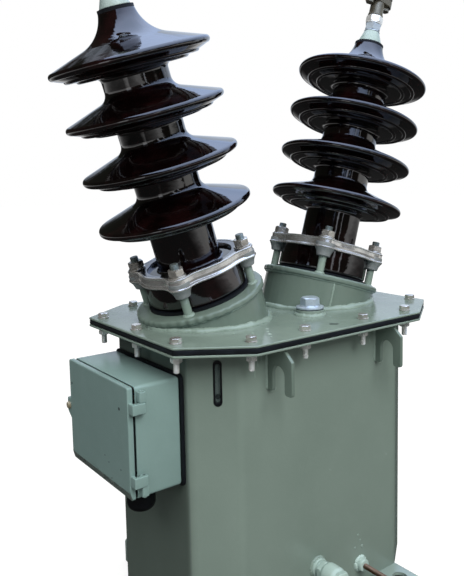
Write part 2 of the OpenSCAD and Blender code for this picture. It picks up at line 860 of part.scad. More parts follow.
module gauge_window() {
    slot_shape(gauge_w - 2 * gauge_rim, gauge_h - 2 * gauge_end);
}

module gauge_surround() {
    color("#0d0e10") on_gauge() difference() {
        translate([0, 0, -gauge_depth]) linear_extrude(gauge_depth + gauge_out)
            slot_shape(gauge_w, gauge_h);
        translate([0, 0, gauge_back_t - gauge_depth]) linear_extrude(gauge_depth + gauge_out)
            gauge_window();
    }
}

module gauge_glass() {
    color("#8fa3a8", 0.5) on_gauge() translate([0, 0, -2 * glass_t]) linear_extrude(glass_t)
        gauge_window();
}

module gauge_float() {
    r = gauge_w / 2 - gauge_rim - seat_gap;
    color("#202428") on_gauge()
        translate([0, gauge_end + seat_gap + r + float_rise - gauge_h / 2, gauge_back_t - gauge_depth])
            cylinder(r = r, h = gauge_depth - gauge_back_t - 2 * glass_t);
}

// outline of the box seen along X, grown by out
module box_outline(out) {
    rounded(rectangle(box_y0 - out, box_z0 - out, box_y1 + out, box_z1 + out), max(box_r + out, 1));
}

// extrusion along X, from x0 towards +X, of an outline drawn in Y and Z
module along_x(x0, length) {
    translate([x0, 0, 0]) rotate([90, 0, 90]) linear_extrude(length) children();
}

module box_backing() {
    color("#101113") along_x(box_x, backing_t) box_outline(backing_out);
}

module terminal_box() {
    color("#7a9690") difference() {
        union() {
            along_x(mouth_x, box_d) box_outline(0);
            for (leaf = leaves)
                translate([hinge_at.x, hinge_at.y, leaf[0] + leaf[1] * leaf_h]) {
                    cylinder(r = leaf_r, h = leaf_h);
                    translate([-leaf_r, 0, 0]) cube([2 * leaf_r, hinge_out + box_t / 2, leaf_h]);
                }
        }
        along_x(mouth_x - 1, box_d + 1 - box_t) box_outline(-box_t);
        translate([hinge_at.x, hinge_at.y, box_z0]) cylinder(r = pin_r, h = box_h);
        translate([gland_at.x, gland_at.y, box_z0 - 1])
            cylinder(r = gland_neck + seat_gap, h = box_t + 2);
    }
}

module box_door() {
    front = door_x - door_d;
    reach = hinge_at.x - front - door_step;
    color("#7a9690") difference() {
        union() {
            difference() {
                along_x(front, door_d) box_outline(0);
                along_x(front + box_t, door_d) box_outline(-box_t);
            }
            // each leaf wraps from the door's side round the pin
            for (leaf = leaves)
                translate([hinge_at.x, hinge_at.y, leaf[0]]) {
                    cylinder(r = leaf_r, h = leaf_h);
                    translate([-reach, -leaf_r - leaf_t, 0]) cube([reach, leaf_r + leaf_t, leaf_h]);
                    translate([-reach, -leaf_t, 0])
                        cube([door_d - 2 * door_step, hinge_out + 2 * leaf_t, leaf_h]);
                }
            along_x(front + door_step, door_d - door_step) ear_outline();
        }
        for (leaf = leaves)
            translate([hinge_at.x, hinge_at.y, leaf[0] - 1])
                cylinder(r = pin_r + pin_gap, h = leaf_h + 2);
        along_x(front - 1, 2 * door_d) translate(lock_at) circle(lock_r + pin_gap);
    }
}

// ear on the door's free edge that holds the lock screw
module ear_outline() {
    y0 = box_y1 - box_t / 2;
    y1 = box_y1 + ear_w;
    z = lock_at.y;
    polygon([[y0, z - ear_down], [y1, z - ear_end], [y1, z + ear_up], [y0, z + ear_up]]);
}

module door_gasket() {
    color("#0e0f11") along_x(door_x - door_d + box_t, door_d - box_t + door_gap - gasket_gap)
        difference() {
            box_outline(-box_t);
            box_outline(-box_t - gasket_w);
        }
}

module hinge_pins() {
    color("#9aa09f") for (leaf = leaves)
        translate([hinge_at.x, hinge_at.y, leaf[0] + min(0, leaf[1]) * leaf_h]) {
            cylinder(r = pin_r, h = 2 * leaf_h);
            translate([0, 0, leaf[1] > 0 ? 2 * leaf_h : -pin_head_t])
                cylinder(r = pin_head_r, h = pin_head_t);
        }
}

module door_lock() {
    face = door_x - door_d + door_step;
    color("#b08d4a") {
        along_x(face - lock_head_t, lock_head_t) translate(lock_at) circle(lock_head_r);
        along_x(face - 1, door_d) translate(lock_at) circle(lock_r);
    }
}

module terminal_board() {
    z = box_z1 - board_in - board_h;
    front = box_x - box_t - board_t;
    pitch = board_w / board_studs;
    color("#5a3a24") translate([front, box_shift - board_w / 2, z]) cube([board_t, board_w, board_h]);
    color("#b08d4a") for (i = [1 : board_studs])
        translate([0, box_shift + (i - 0.5) * pitch - board_w / 2, z + board_h / 2]) {
            along_x(front - board_stud_l, board_stud_l + 1) circle(d = board_stud_d);
            along_x(front - nut_h(board_stud_d), nut_h(board_stud_d))
                circle(d = nut_af(board_stud_d) / cos(30), $fn = 6);
        }
}

module cable_gland() {
    top = box_t + gland_collar_h;
    color("#141518") translate([gland_at.x, gland_at.y, box_z0]) rotate_extrude() {
        intersection() {
            rounded(rectangle(-gland_r, -gland_h, gland_r, gland_edge), gland_edge);
            translate([gland_bore, -gland_h]) square([gland_r, gland_h]);
        }
        translate([gland_bore, -1]) square([gland_neck_t, top + 1]);
    }
}

module on_front(x, z) {
    translate([x, -tank_w / 2, foot_h + z]) rotate([90, 0, 0]) children();
}

module drain_valve() {
    body = drain_l + valve_nut_t;
    color("#8fa39b") on_front(-drain_x, drain_z) {
        cylinder(r = drain_flange_r, h = drain_collar_h);
        cylinder(r = drain_r, h = drain_l);
        translate([0, 0, drain_l]) hexagon(valve_af, valve_nut_t);
        translate([0, 0, body]) cylinder(r = valve_r, h = valve_l);
        translate([0, 0, body + valve_l]) hexagon(valve_af, valve_nut_t);
    }
}

module earth_boss() {
    color("#8b9e96") on_front(earth_x, earth_z) cylinder(r = earth_r, h = earth_boss_l);
}

module earth_stud() {
    color("#6b5646") on_front(earth_x, earth_z) translate([0, 0, earth_boss_l])
        cylinder(d = earth_d, h = earth_l);
}

foot(-1);  // foot_left
foot(1);  // foot_right
tank_bottom();
tank_wall();
tank_flange();
lid_gasket();
lid();
lid_bolts();
turret(-1);  // turret_left
turret(1);  // turret_right
seat_ring(-1);  // seat_ring_left
seat_ring(1);  // seat_ring_right
porcelain(-1);  // porcelain_left
porcelain(1);  // porcelain_right
clamp_ring(-1);  // clamp_ring_left
clamp_ring(1);  // clamp_ring_right
clamp_studs(-1);  // clamp_studs_left
clamp_studs(1);  // clamp_studs_right
cap_ring(-1);  // cap_ring_left
cap_ring(1);  // cap_ring_right
cap(-1);  // cap_left
cap(1);  // cap_right
stem(-1);  // stem_left
stem(1);  // stem_right
connector(-1);  // connector_left
connector(1);  // connector_right
keeper(-1);  // keeper_left
keeper(1);  // keeper_right
hooks();
filler_boss();
filler_plug();
gauge_surround();
gauge_glass();
gauge_float();
box_backing();
terminal_box();
box_door();
door_gasket();
hinge_pins();
door_lock();
terminal_board();
cable_gland();
drain_valve();
earth_boss();
earth_stud();
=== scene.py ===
import json
import math

import bmesh
import bpy
import numpy as np
from mathutils import Matrix, Vector


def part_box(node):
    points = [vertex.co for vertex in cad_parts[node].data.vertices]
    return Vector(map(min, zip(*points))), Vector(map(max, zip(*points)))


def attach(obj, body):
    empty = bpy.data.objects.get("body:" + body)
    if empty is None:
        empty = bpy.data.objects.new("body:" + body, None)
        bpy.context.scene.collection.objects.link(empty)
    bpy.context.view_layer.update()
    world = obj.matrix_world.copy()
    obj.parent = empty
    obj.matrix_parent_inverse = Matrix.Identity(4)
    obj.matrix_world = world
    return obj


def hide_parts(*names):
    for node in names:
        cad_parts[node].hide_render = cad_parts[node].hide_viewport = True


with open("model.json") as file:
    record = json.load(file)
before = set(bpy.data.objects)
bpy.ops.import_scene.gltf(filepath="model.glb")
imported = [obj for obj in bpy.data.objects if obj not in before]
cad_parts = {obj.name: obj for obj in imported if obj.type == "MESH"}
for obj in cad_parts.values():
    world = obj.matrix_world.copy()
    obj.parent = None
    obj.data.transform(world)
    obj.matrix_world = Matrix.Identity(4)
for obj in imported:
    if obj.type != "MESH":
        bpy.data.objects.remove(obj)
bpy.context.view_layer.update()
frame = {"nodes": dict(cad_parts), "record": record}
nodes = frame["nodes"]
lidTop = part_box("lid")[1].z
print("loaded the packed part:", len(nodes), "nodes")


def srgb(red, green, blue):
    # 0-255 display values turned into linear light by the 2.4 power of the sRGB curve
    c = np.array([red, green, blue]) / 255
    return tuple(np.where(c < 0.04045, c / 12.92, ((c + 0.055) / 1.055) ** 2.4)) + (1.0,)


class Wire:
    # one output socket that takes part in ordinary arithmetic
    def __init__(self, finish, socket):
        self.finish, self.socket = finish, socket

    def __add__(self, other):
        return self.finish.maths("ADD", self, other)

    def __sub__(self, other):
        return self.finish.maths("SUBTRACT", self, other)

    def __rsub__(self, other):
        return self.finish.maths("SUBTRACT", other, self)

    def __mul__(self, other):
        return self.finish.maths("MULTIPLY", self, other)

    def __truediv__(self, other):
        return self.finish.maths("DIVIDE", self, other)

    __radd__, __rmul__ = __add__, __mul__

    def within(self, low, high):
        # 0 below low, 1 above high, straight between
        return self.finish.maths("MULTIPLY", self - low, 1 / (high - low), clamp=True)


class Finish:
    # one procedural surface; every method adds nodes and gives back a Wire
    def __init__(self, name, tree=None):
        if tree is None:
            self.material = bpy.data.materials.new(name)
            self.material.use_nodes = True
            tree = self.material.node_tree
        self.tree = tree
        tree.nodes.clear()

    def node(self, kind, settings=None, values=None, output=0):
        made = self.tree.nodes.new("ShaderNode" + kind)
        for key, value in (settings or {}).items():
            if key == "stops":
                ramp = made.color_ramp
                while len(ramp.elements) < len(value):
                    ramp.elements.new(1)
                for stop, (place, colour) in zip(ramp.elements, value):
                    stop.position, stop.color = place, colour
            else:
                setattr(made, key, value)
        for key, value in (values or {}).items():
            if isinstance(value, Wire):
                self.tree.links.new(value.socket, made.inputs[key])
            else:
                made.inputs[key].default_value = value
        return Wire(self, made.outputs[output]) if made.outputs else None

    def maths(self, operation, first, second=0.0, clamp=False):
        settings = {"operation": operation, "use_clamp": clamp}
        return self.node("Math", settings, {0: first, 1: second})

    def where(self, stretch=(1, 1, 1)):
        # Object coordinates, stretched along each axis
        spot = self.node("TexCoord", output="Object")
        return self.node("VectorMath", {"operation": "MULTIPLY"}, {0: spot, 1: stretch})

    def noise(self, scale, detail=2.0, rough=0.5, stretch=(1, 1, 1)):
        values = {"Vector": self.where(stretch), "Scale": scale, "Detail": detail,
                  "Roughness": rough}
        return self.node("TexNoise", None, values)

    def blend(self, amount, first, second):
        values = {0: amount, 6: first, 7: second}
        return self.node("Mix", {"data_type": "RGBA"}, values, output=2)

    def bump(self, height, distance, strength=1.0, under=None):
        values = {"Height": height, "Distance": distance, "Strength": strength}
        if under:
            values["Normal"] = under
        return self.node("Bump", None, values)

    def axes(self):
        # the three Object coordinates
        return [self.node("SeparateXYZ", None, {0: self.where()}, output=k) for k in range(3)]

    def shade(self, colour, roughness, **more):
        values = {"Base Color": colour, "Roughness": roughness}
        values.update({key.replace("_", " "): value for key, value in more.items()})
        shader = self.node("BsdfPrincipled", None, values)
        self.node("OutputMaterial", None, {"Surface": shader})
        return self.material


def enamel(name, body, shadow, sheen, gloss=0.17, peel=1.0, specular=0.5, paintedShade=None):
    # gloss enamel: slow drifts of tone, a faint orange peel, a few runs and dull smudges; painted
    # shade darkens the end wall, where the terminal box shades it, and the top of the bevel beside
    # it, under the lid's overhang
    f = Finish(name)
    drift = f.noise(7, 3, 0.55, (1, 1, 0.6))
    cloud = f.noise(38, 4, 0.6)
    fleck = f.noise(900, 2, 0.6)
    colour = f.blend(drift.within(0.3, 0.72), shadow, body)
    colour = f.blend(cloud.within(0.5, 0.8) * 0.22, colour, sheen)
    colour = f.blend(fleck.within(0.62, 0.8) * 0.12, colour, sheen)
    if paintedShade:
        x, _, z = f.axes()
        # painted shade: the end wall under the terminal box, then the top of the bevel under the
        # lid
        shadeMask = (0 - x).within(0.1955, 0.197) * 0.5
        shadeMask = shadeMask + (0 - x).within(0.14, 0.15) * z.within(0.28, 0.42) * 0.2
        colour = f.blend(shadeMask, colour, paintedShade)
    rough = gloss + cloud * 0.1 + f.noise(160, 2, 0.6) * 0.05
    wave = f.bump(f.noise(22, 2, 0.5), 0.0012 * peel, 0.45)
    skin = f.bump(f.noise(260, 2, 0.55), 0.00022 * peel, 0.5, wave)
    return f.shade(colour, rough, Normal=skin, Specular_IOR_Level=specular)


def glaze(name):
    # near black glaze, reddish where it is thin, specked, in soft waves that break its reflections
    f = Finish(name)
    pool = f.noise(26, 3, 0.6)
    speck = f.noise(700, 2, 0.5)
    colour = f.blend(pool.within(0.45, 0.75), srgb(5, 2, 2), srgb(24, 8, 9))
    colour = f.blend(speck.within(0.68, 0.8) * 0.3, colour, srgb(58, 28, 26))
    rough = 0.03 + f.noise(60, 3, 0.6) * 0.05
    wave = f.bump(f.noise(30, 2, 0.5), 0.0011, 0.5)
    grain = f.bump(f.noise(190, 2, 0.5), 0.00014, 0.5, wave)
    return f.shade(colour, rough, Normal=grain, IOR=1.85, Specular_IOR_Level=0.5)


def metal(name, bright, dull, gloss, scratch=0.5, grain=220, depth=0.0001, bare=1.0):
    # bare or plated metal: patches of tarnish over it, fine grain under the shine; bare is the
    # share of it that mirrors, the rest being dull oxide
    f = Finish(name)
    patch = f.noise(90, 4, 0.65)
    fine = f.noise(grain, 3, 0.6)
    colour = f.blend(patch.within(0.42, 0.72) * scratch, bright, dull)
    colour = f.blend(fine.within(0.55, 0.8) * 0.3, colour, dull)
    rough = gloss + patch * 0.14 + fine * 0.06
    return f.shade(colour, rough, Metallic=bare, Normal=f.bump(fine, depth, 0.6))


def rubber(name, tone, dust, gloss=0.5):
    # matt rubber with a fine grain and a breath of pale dust
    f = Finish(name)
    bloom = f.noise(45, 4, 0.65)
    grit = f.noise(1300, 2, 0.6)
    colour = f.blend(bloom.within(0.5, 0.8) * 0.6, tone, dust)
    rough = gloss + bloom * 0.2
    return f.shade(colour, rough, Normal=f.bump(grit, 0.0001, 0.6), Specular_IOR_Level=0.35)


def resin(name):
    # brown laminate whose layers show as thin level streaks
    f = Finish(name)
    layer = f.noise(60, 3, 0.5, (1, 1, 14))
    colour = f.blend(layer.within(0.35, 0.65), srgb(64, 34, 18), srgb(104, 62, 34))
    return f.shade(colour, 0.3 + layer * 0.15, Normal=f.bump(layer, 0.0001, 0.5))


def window(name):
    # grey oil seen through a thin pane, with faint streaks of damp
    f = Finish(name)
    streak = f.noise(120, 3, 0.6, (1, 1, 0.25))
    colour = f.blend(streak.within(0.35, 0.7), srgb(60, 74, 72), srgb(84, 96, 94))
    return f.shade(colour, 0.06 + streak * 0.08, Alpha=0.2, Specular_IOR_Level=0.5)


# each enamel: its body tone, a darker drift and a paler sheen, then gloss, peel and specular
tankTones = (srgb(119, 135, 127), srgb(112, 128, 120), srgb(126, 142, 134))
tankPaint = enamel("tankPaint", *tankTones)
# the tank wall's paint, with painted shade on its end wall and on the top of its bevel
wallPaint = enamel("wallPaint", *tankTones, paintedShade=srgb(40, 48, 44))
# a paler, glossier copy of the tank paint for the feet; the paler tone is painted light, for the
# sky their tops mirror
skyLitFootPaint = enamel("skyLitFootPaint", srgb(144, 162, 156), srgb(128, 146, 140), srgb(158, 176, 170),
                   0.05, 0.7, 0.8)
# a paler copy of the tank paint for welds, spatter, runs and stud roots; the paler tone is a
# painted highlight where their lumps catch light
litWeldPaint = enamel("litWeldPaint", srgb(132, 150, 142), srgb(118, 136, 127), srgb(156, 174, 166),
                   0.1, 4.5)
# a darker copy of the box paint for the door's sloped lower lip: painted shade, for a face turned
# down to the floor
shadedLipPaint = enamel("shadedLipPaint", srgb(96, 108, 104), srgb(84, 96, 92), srgb(108, 120, 116), 0.2, 1.1)
# a darker copy of the tank paint for the turrets and lifting hooks: painted shade, as they take
# less light than the front
shadedTurretPaint = enamel("shadedTurretPaint", srgb(104, 120, 112), srgb(94, 110, 102), srgb(114, 130, 122),
                     0.12, 1.4)
lidPaint = enamel("lidPaint", srgb(119, 135, 127), srgb(108, 124, 116), srgb(134, 150, 142),
                  0.07, 1.6, 0.6)
boxPaint = enamel("boxPaint", srgb(122, 147, 144), srgb(115, 140, 137), srgb(130, 155, 152),
                  0.16, 1.1)
capPaint = enamel("capPaint", srgb(152, 170, 168), srgb(140, 160, 158), srgb(168, 186, 184), 0.18)
brownGlaze = glaze("brownGlaze")
zinc = metal("zinc", srgb(236, 238, 236), srgb(170, 174, 172), 0.16, bare=0.5)
stainless = metal("stainless", srgb(222, 220, 214), srgb(112, 106, 98), 0.1, bare=0.8)
blueZinc = metal("blueZinc", srgb(184, 198, 210), srgb(146, 160, 174), 0.2, bare=0.45)
greySteel = metal("greySteel", srgb(132, 144, 144), srgb(80, 90, 90), 0.26, bare=0.6)
castRing = metal("castRing", srgb(222, 222, 220), srgb(178, 176, 170), 0.13, 0.2, 160, 0.00003, 0.8)
# a glossier copy of the cast metal for the clamp's top face; its darker tone is painted shade for
# the dark porcelain it mirrors
castFaceShaded = metal("castFaceShaded", srgb(128, 130, 136), srgb(84, 84, 88), 0.07, 0.3, 160, 0.00003, 1.0)
castBoss = metal("castBoss", srgb(136, 142, 144), srgb(106, 112, 114), 0.5, 0.6, 420, 0.0003, 0.2)
bronze = metal("bronze", srgb(146, 142, 128), srgb(96, 92, 80), 0.26, 0.7, bare=0.8)
brownBronze = metal("brownBronze", srgb(128, 104, 82), srgb(70, 54, 42), 0.24, 0.8, bare=0.8)
brass = metal("brass", srgb(206, 168, 104), srgb(140, 104, 56), 0.22, 0.6, bare=0.8)
paleBrass = metal("paleBrass", srgb(206, 196, 170), srgb(150, 138, 110), 0.2, 0.5, bare=0.6)
blackRubber = rubber("blackRubber", srgb(13, 15, 18), srgb(30, 35, 42))
blackPlastic = rubber("blackPlastic", srgb(10, 11, 14), srgb(22, 25, 30), 0.34)
boardResin = resin("boardResin")
palePaint = enamel("palePaint", srgb(168, 190, 184), srgb(152, 174, 168), srgb(186, 206, 202),
                   0.16, 2.0)
oilCard = rubber("oilCard", srgb(116, 132, 130), srgb(132, 146, 144), 0.4)
gaugePane = window("gaugePane")
print("surfaces ready:", len(bpy.data.materials))

# the finish of each material slot
looks = {
    "tank_paint": tankPaint, "box_paint": boxPaint, "cap_paint": capPaint,
    "black_rubber": blackRubber, "black_plastic": blackPlastic, "brown_porcelain": brownGlaze,
    "zinc_hardware": zinc, "cast_aluminium": castRing, "tinned_bronze": bronze,
    "tarnished_bronze": brownBronze, "brass": brass, "gauge_glass": gaugePane,
    "terminal_board": boardResin,
}
for row in frame["record"]["subparts"]:
    slots = nodes[row["node"]].data.materials
    slots.clear()
    slots.append(looks[row["material_slot"]])
for node, paint in (("tank_wall", wallPaint), ("foot_left", skyLitFootPaint), ("foot_right", skyLitFootPaint)):
    nodes[node].data.materials[0] = paint


def ring(count, start=0.0):
    # count even angles round a full turn
    return start + np.arange(count) * 2 * math.pi / count


def direction(angle):
    # (cos, sin) of each angle
    return np.stack([np.cos(angle), np.sin(angle)], -1)


def rounded(corners, radius, steps=5, closed=True):
    # each corner becomes the arc of that radius tangent to both its edges
    made, count = [], len(corners)
    radii = radius if isinstance(radius, (list, tuple)) else [radius] * count
    for k, (corner, r) in enumerate(zip(corners, radii)):
        here = np.array(corner, float)
        if r == 0 or (not closed and k in (0, count - 1)):
            made.append(here[None])
            continue
        into = here - np.array(corners[k - 1], float)
        out = np.array(corners[(k + 1) % count], float) - here
        into, out = into / np.linalg.norm(into), out / np.linalg.norm(out)
        turn = math.atan2(into[0] * out[1] - into[1] * out[0], into @ out)
        start = here - into * r * math.tan(abs(turn) / 2)
        side = np.array([-into[1], into[0]]) * math.copysign(1, turn)
        angle = np.arange(steps + 1) / steps * turn
        arm = -side * r
        bent = np.stack([arm[0] * np.cos(angle) - arm[1] * np.sin(angle),
                         arm[0] * np.sin(angle) + arm[1] * np.cos(angle)], -1)
        made.append(start + side * r + bent)
    return np.concatenate(made)


def octagon(length, width, cutX, cutY):
    # a rectangle with its four corners cut, anticlockwise
    x, y = length / 2, width / 2
    return [(x, -y + cutY), (x, y - cutY), (x - cutX, y), (-x + cutX, y),
            (-x, y - cutY), (-x, -y + cutY), (-x + cutX, -y), (x - cutX, -y)]


def carry(outline, section):
    # outline + inset * inward mitre, at each level; the mitre is the sum of both edges' normals
    # over 1 + their dot product
    edge = np.roll(outline, -1, 0) - outline
    edge = edge / np.linalg.norm(edge, axis=1, keepdims=True)
    normal = np.stack([-edge[:, 1], edge[:, 0]], -1)
    last = np.roll(normal, 1, 0)
    mitre = (normal + last) / (1 + (normal * last).sum(1, keepdims=True))
    section = np.array(section, float)
    flat = outline[None] + section[:, :1, None] * mitre[None]
    level = np.broadcast_to(section[:, 1, None, None], flat.shape[:2] + (1,))
    return np.concatenate([flat, level], 2)


def revolve(profile, count=64):
    # each (radius, level) of the profile turned round Z
    profile = np.array(profile, float)
    flat = profile[:, :1, None] * direction(ring(count))[None]
    level = np.broadcast_to(profile[:, 1, None, None], flat.shape[:2] + (1,))
    return np.concatenate([flat, level], 2)


def slab(outline, low, high, lowEdge, highEdge=None):
    # the outline between two levels, its rims turned over by quarter arcs
    highEdge = lowEdge if highEdge is None else highEdge
    corners = [(lowEdge * 1.1, low), (0, low), (0, high), (highEdge * 1.1, high)]
    return carry(outline, rounded(corners, [0, lowEdge, highEdge, 0], 4, closed=False))


def rectangle(x0, y0, x1, y1):
    # four corners, anticlockwise
    return [(x0, y0), (x1, y0), (x1, y1), (x0, y1)]


def hexRows(flats, height, chamfer=0.12, both=False):
    # at each angle the smaller of a hexagon's radius and the 30 degree cone that chamfers it
    angle = ring(72)
    hexagon = flats / 2 / np.cos((angle + math.pi / 6) % (math.pi / 3) - math.pi / 6)
    dip = np.array([0, 0.012, 0.03, 0.055, 0.09, 0.13]) * flats
    cone = (0.5 - chamfer * 0.25) * flats + dip * math.sqrt(3)
    top = np.minimum(hexagon[None], cone[::-1, None])
    levels = height - dip[::-1]
    low = (top[::-1], dip) if both else (hexagon[None], np.zeros(1))
    radius = np.concatenate([low[0], top])
    level = np.concatenate([low[1], levels])
    flat = radius[..., None] * direction(angle)[None]
    return np.concatenate([flat, np.broadcast_to(level[:, None, None], flat.shape[:2] + (1,))], 2)


def threadRows(radius, low, high, pitch, count=28, taper=0.001):
    # radius less a saw tooth of height over pitch minus angle over a turn; the tip is chamfered
    angle = ring(count)
    level = np.linspace(low, high, max(8, int((high - low) / pitch * 6)))
    tooth = np.abs(((level[:, None] / pitch - angle[None] / (2 * math.pi)) % 1) * 2 - 1)
    depth = tooth * pitch * 0.5
    tip = np.clip((level - (high - taper)) / taper, 0, 1)[:, None] * taper * 0.8
    flat = (radius - np.maximum(depth, tip))[..., None] * direction(angle)[None]
    return np.concatenate([flat, np.broadcast_to(level[:, None, None], flat.shape[:2] + (1,))], 2)


def wander(along, seed, waves=7, slowest=2):
    # a sum of sines with seeded phases, within about -1 to 1, for a closed path's share along
    random = np.random.default_rng(seed)
    turns = slowest + np.arange(waves) * random.integers(1, 4, waves)
    size = random.uniform(0.4, 1, waves)
    phase = random.uniform(0, 2 * math.pi, waves)
    waved = np.sin(along[..., None] * turns * 2 * math.pi + phase) * size
    return waved.sum(-1) / size.sum() * 1.8


def bead(path, outward, width, seed=1, ripple=0.0032, closed=True, height=0.55, count=10):
    # path + width * (cos b * side + height * sin b * outward); the width ripples and drifts
    path, outward = np.array(path, float), np.array(outward, float)
    if closed:
        tangent = np.roll(path, -1, 0) - np.roll(path, 1, 0)
    else:
        tangent = np.gradient(path, axis=0)
    step = np.linalg.norm(np.diff(path, axis=0), axis=1)
    length = np.concatenate([[0], np.cumsum(step)])
    tangent /= np.linalg.norm(tangent, axis=1, keepdims=True)
    side = np.cross(outward, tangent)
    side /= np.linalg.norm(side, axis=1, keepdims=True)
    up = np.cross(tangent, side)
    share = length / length[-1]
    scallop = np.abs(np.sin(math.pi * length / ripple + 2 * wander(share, seed + 50)))
    size = width * (0.86 + 0.16 * scallop + 0.26 * wander(share, seed, 12, 3))
    if not closed:
        fromEnd = np.minimum(share, 1 - share) * length[-1]
        size = size * np.sqrt(np.clip(fromEnd / width + 0.05, 0, 1))
    sway = side * (wander(share, seed + 9, 9, 3) * width * 0.22)[:, None]
    b = ring(count)
    wide, tall = np.cos(b)[None, :, None], height * np.sin(b)[None, :, None]
    rows = wide * side[:, None] + tall * up[:, None]
    return (path + sway)[:, None] + rows * size[:, None, None]


def settle(points, matrix):
    # every point through the 4 x 4 matrix
    turned = np.array(matrix)
    return points @ turned[:3, :3].T + turned[:3, 3]


class Form:
    # surfaces gathered until they become one mesh, whose object stays at the origin
    def __init__(self):
        self.points, self.faces, self.count = [], [], 0

    def add(self, grid, matrix=None, loopRows=False, loopColumns=True, ends=(True, True)):
        rows, columns = grid.shape[:2]
        i = np.arange(rows if loopRows else rows - 1)[:, None]
        j = np.arange(columns if loopColumns else columns - 1)[None]
        up, on = (i + 1) % rows, (j + 1) % columns
        quads = [i * columns + j, i * columns + on, up * columns + on, up * columns + j]
        quads = np.stack(np.broadcast_arrays(*quads), -1).reshape(-1, 4) + self.count
        self.faces += quads.tolist()
        if not loopRows and ends[0]:
            self.faces.append((np.arange(columns)[::-1] + self.count).tolist())
        if not loopRows and ends[1]:
            self.faces.append((np.arange(columns) + (rows - 1) * columns + self.count).tolist())
        flat = grid.reshape(-1, 3)
        self.points.append(settle(flat, matrix) if matrix is not None else flat)
        self.count += rows * columns
        return self

    def make(self, name, material, slotName, stands=(), body="transformer", sharp=32):
        mesh = bpy.data.meshes.new(name)
        mesh.from_pydata(np.concatenate(self.points).tolist(), [], self.faces)
        tidy = bmesh.new()
        tidy.from_mesh(mesh)
        bmesh.ops.remove_doubles(tidy, verts=tidy.verts, dist=2e-6)
        bmesh.ops.recalc_face_normals(tidy, faces=tidy.faces)
        tidy.to_mesh(mesh)
        tidy.free()
        return settlePiece(mesh, name, material, stands, body, sharp)


def settlePiece(mesh, name, material, stands, body, sharp):
    # object at the origin with its finish, body and the node it stands in for
    mesh.shade_smooth()
    mesh.set_sharp_from_angle(angle=math.radians(sharp))
    made = bpy.data.objects.new(name, mesh)
    bpy.context.scene.collection.objects.link(made)
    mesh.materials.append(material)
    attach(made, body)
    if stands:
        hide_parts(*stands)
    return made


def softened(nodeName, name, material, width, body="transformer", steps=3):
    # a merged copy of a node's mesh whose sharp edges get a small round; known fault: on
    # connector_right some triangles of its many-cornered faces are turned over
    mesh = nodes[nodeName].data.copy()
    mesh.materials.clear()
    tidy = bmesh.new()
    tidy.from_mesh(mesh)
    bmesh.ops.remove_doubles(tidy, verts=tidy.verts, dist=2e-6)
    bmesh.ops.dissolve_limit(tidy, angle_limit=math.radians(0.5), verts=tidy.verts,
                             edges=tidy.edges, use_dissolve_boundaries=False)
    tidy.to_mesh(mesh)
    tidy.free()
    if mesh.has_custom_normals:
        mesh.attributes.remove(mesh.attributes["custom_normal"])
    made = settlePiece(mesh, name, material, (nodeName,), body, 32)
    bevel = made.modifiers.new("roundEdges", "BEVEL")
    bevel.width, bevel.segments, bevel.limit_method = width, steps, "ANGLE"
    bevel.angle_limit, bevel.use_clamp_overlap = math.radians(32), True
    bevel.harden_normals = False
    return made


plate = {
    "length": 0.460, "width": 0.350, "cutX": 0.082, "cutY": 0.058, "corner": 0.005,
    "lidThick": 0.003, "gasketThick": 0.007, "flangeThick": 0.003, "edge": 0.0012,
    "mouthLength": 0.389, "mouthWidth": 0.261, "mouthCutX": 0.0523, "mouthCutY": 0.0388,
    "mouthCorner": 0.015,
}
plateOutline = rounded(octagon(plate["length"], plate["width"], plate["cutX"], plate["cutY"]),
                       plate["corner"], 6)
mouthOutline = rounded(octagon(plate["mouthLength"], plate["mouthWidth"], plate["mouthCutX"],
                               plate["mouthCutY"]), plate["mouthCorner"], 6)


def plateEdge(low, high, edge, inset=0.0):
    # section of a plate's outer edge, its two corners rounded
    corners = [(0.004, low), (inset, low), (inset, high), (0.004, high)]
    return rounded(corners, [0, edge, edge, 0], 4, closed=False)


def plateBand(low, high, edge, inset=0.0):
    # the edge carried round, then straight across to the tank's mouth and back under
    rim = carry(plateOutline, plateEdge(low, high, edge, inset))
    mouth = carry(mouthOutline, [(0, high), (0, low)])
    return np.concatenate([rim, mouth])


def makeLid():
    # the closed plate, then gasket and flange as bands round the tank's mouth
    low = lidTop - plate["lidThick"]
    rim = carry(plateOutline, plateEdge(low, lidTop, plate["edge"]))
    Form().add(rim).make("lidPlate", lidPaint, "tank_paint", ["lid"])
    gasketLow = low - plate["gasketThick"]
    Form().add(plateBand(gasketLow, low, 0.0016, 0.0006), loopRows=True).make(
        "lidGasketStrip", blackRubber, "black_rubber", ["lid_gasket"])
    Form().add(plateBand(gasketLow - plate["flangeThick"], gasketLow, 0.001), loopRows=True).make(
        "flangePlate", tankPaint, "tank_paint", ["tank_flange"])


makeLid()
print("lid, gasket and flange made")


lidBolt = {
    "across": 0.0128, "head": 0.0056, "washer": 0.0016, "washerRadius": 0.008, "thread": 0.004,
    "pitch": 0.00125, "length": 0.0364, "nut": 0.0064, "spring": 0.0026, "springRadius": 0.0066,
    "endIn": 0.015, "sideIn": 0.0226, "endSide": 0.075, "sideEnd": 0.0894, "span": 0.1068,
}


def washerRows(radius, thick, edge=0.0003):
    # a flat disc's half section with rounded rims
    corners = [(0, 0), (radius, 0), (radius, thick), (0, thick)]
    return revolve(rounded(corners, [0, edge, edge, 0], 2, closed=False), 36)


def springRows(inner, outer, thick, steps=40):
    # one turn of a square wire whose ends part at a slit, each section a rounded square
    turn = np.linspace(0.06, 2 * math.pi - 0.06, steps)
    section = rounded([(inner, 0), (outer, 0), (outer, thick), (inner, thick)], 0.0003, 2)
    rise = (turn / (2 * math.pi) - 0.5)[:, None] * 0.0005
    across = direction(turn)
    return np.concatenate([section[None, :, :1] * across[:, None, :],
                           (section[None, :, 1:] + rise[..., None])], 2)


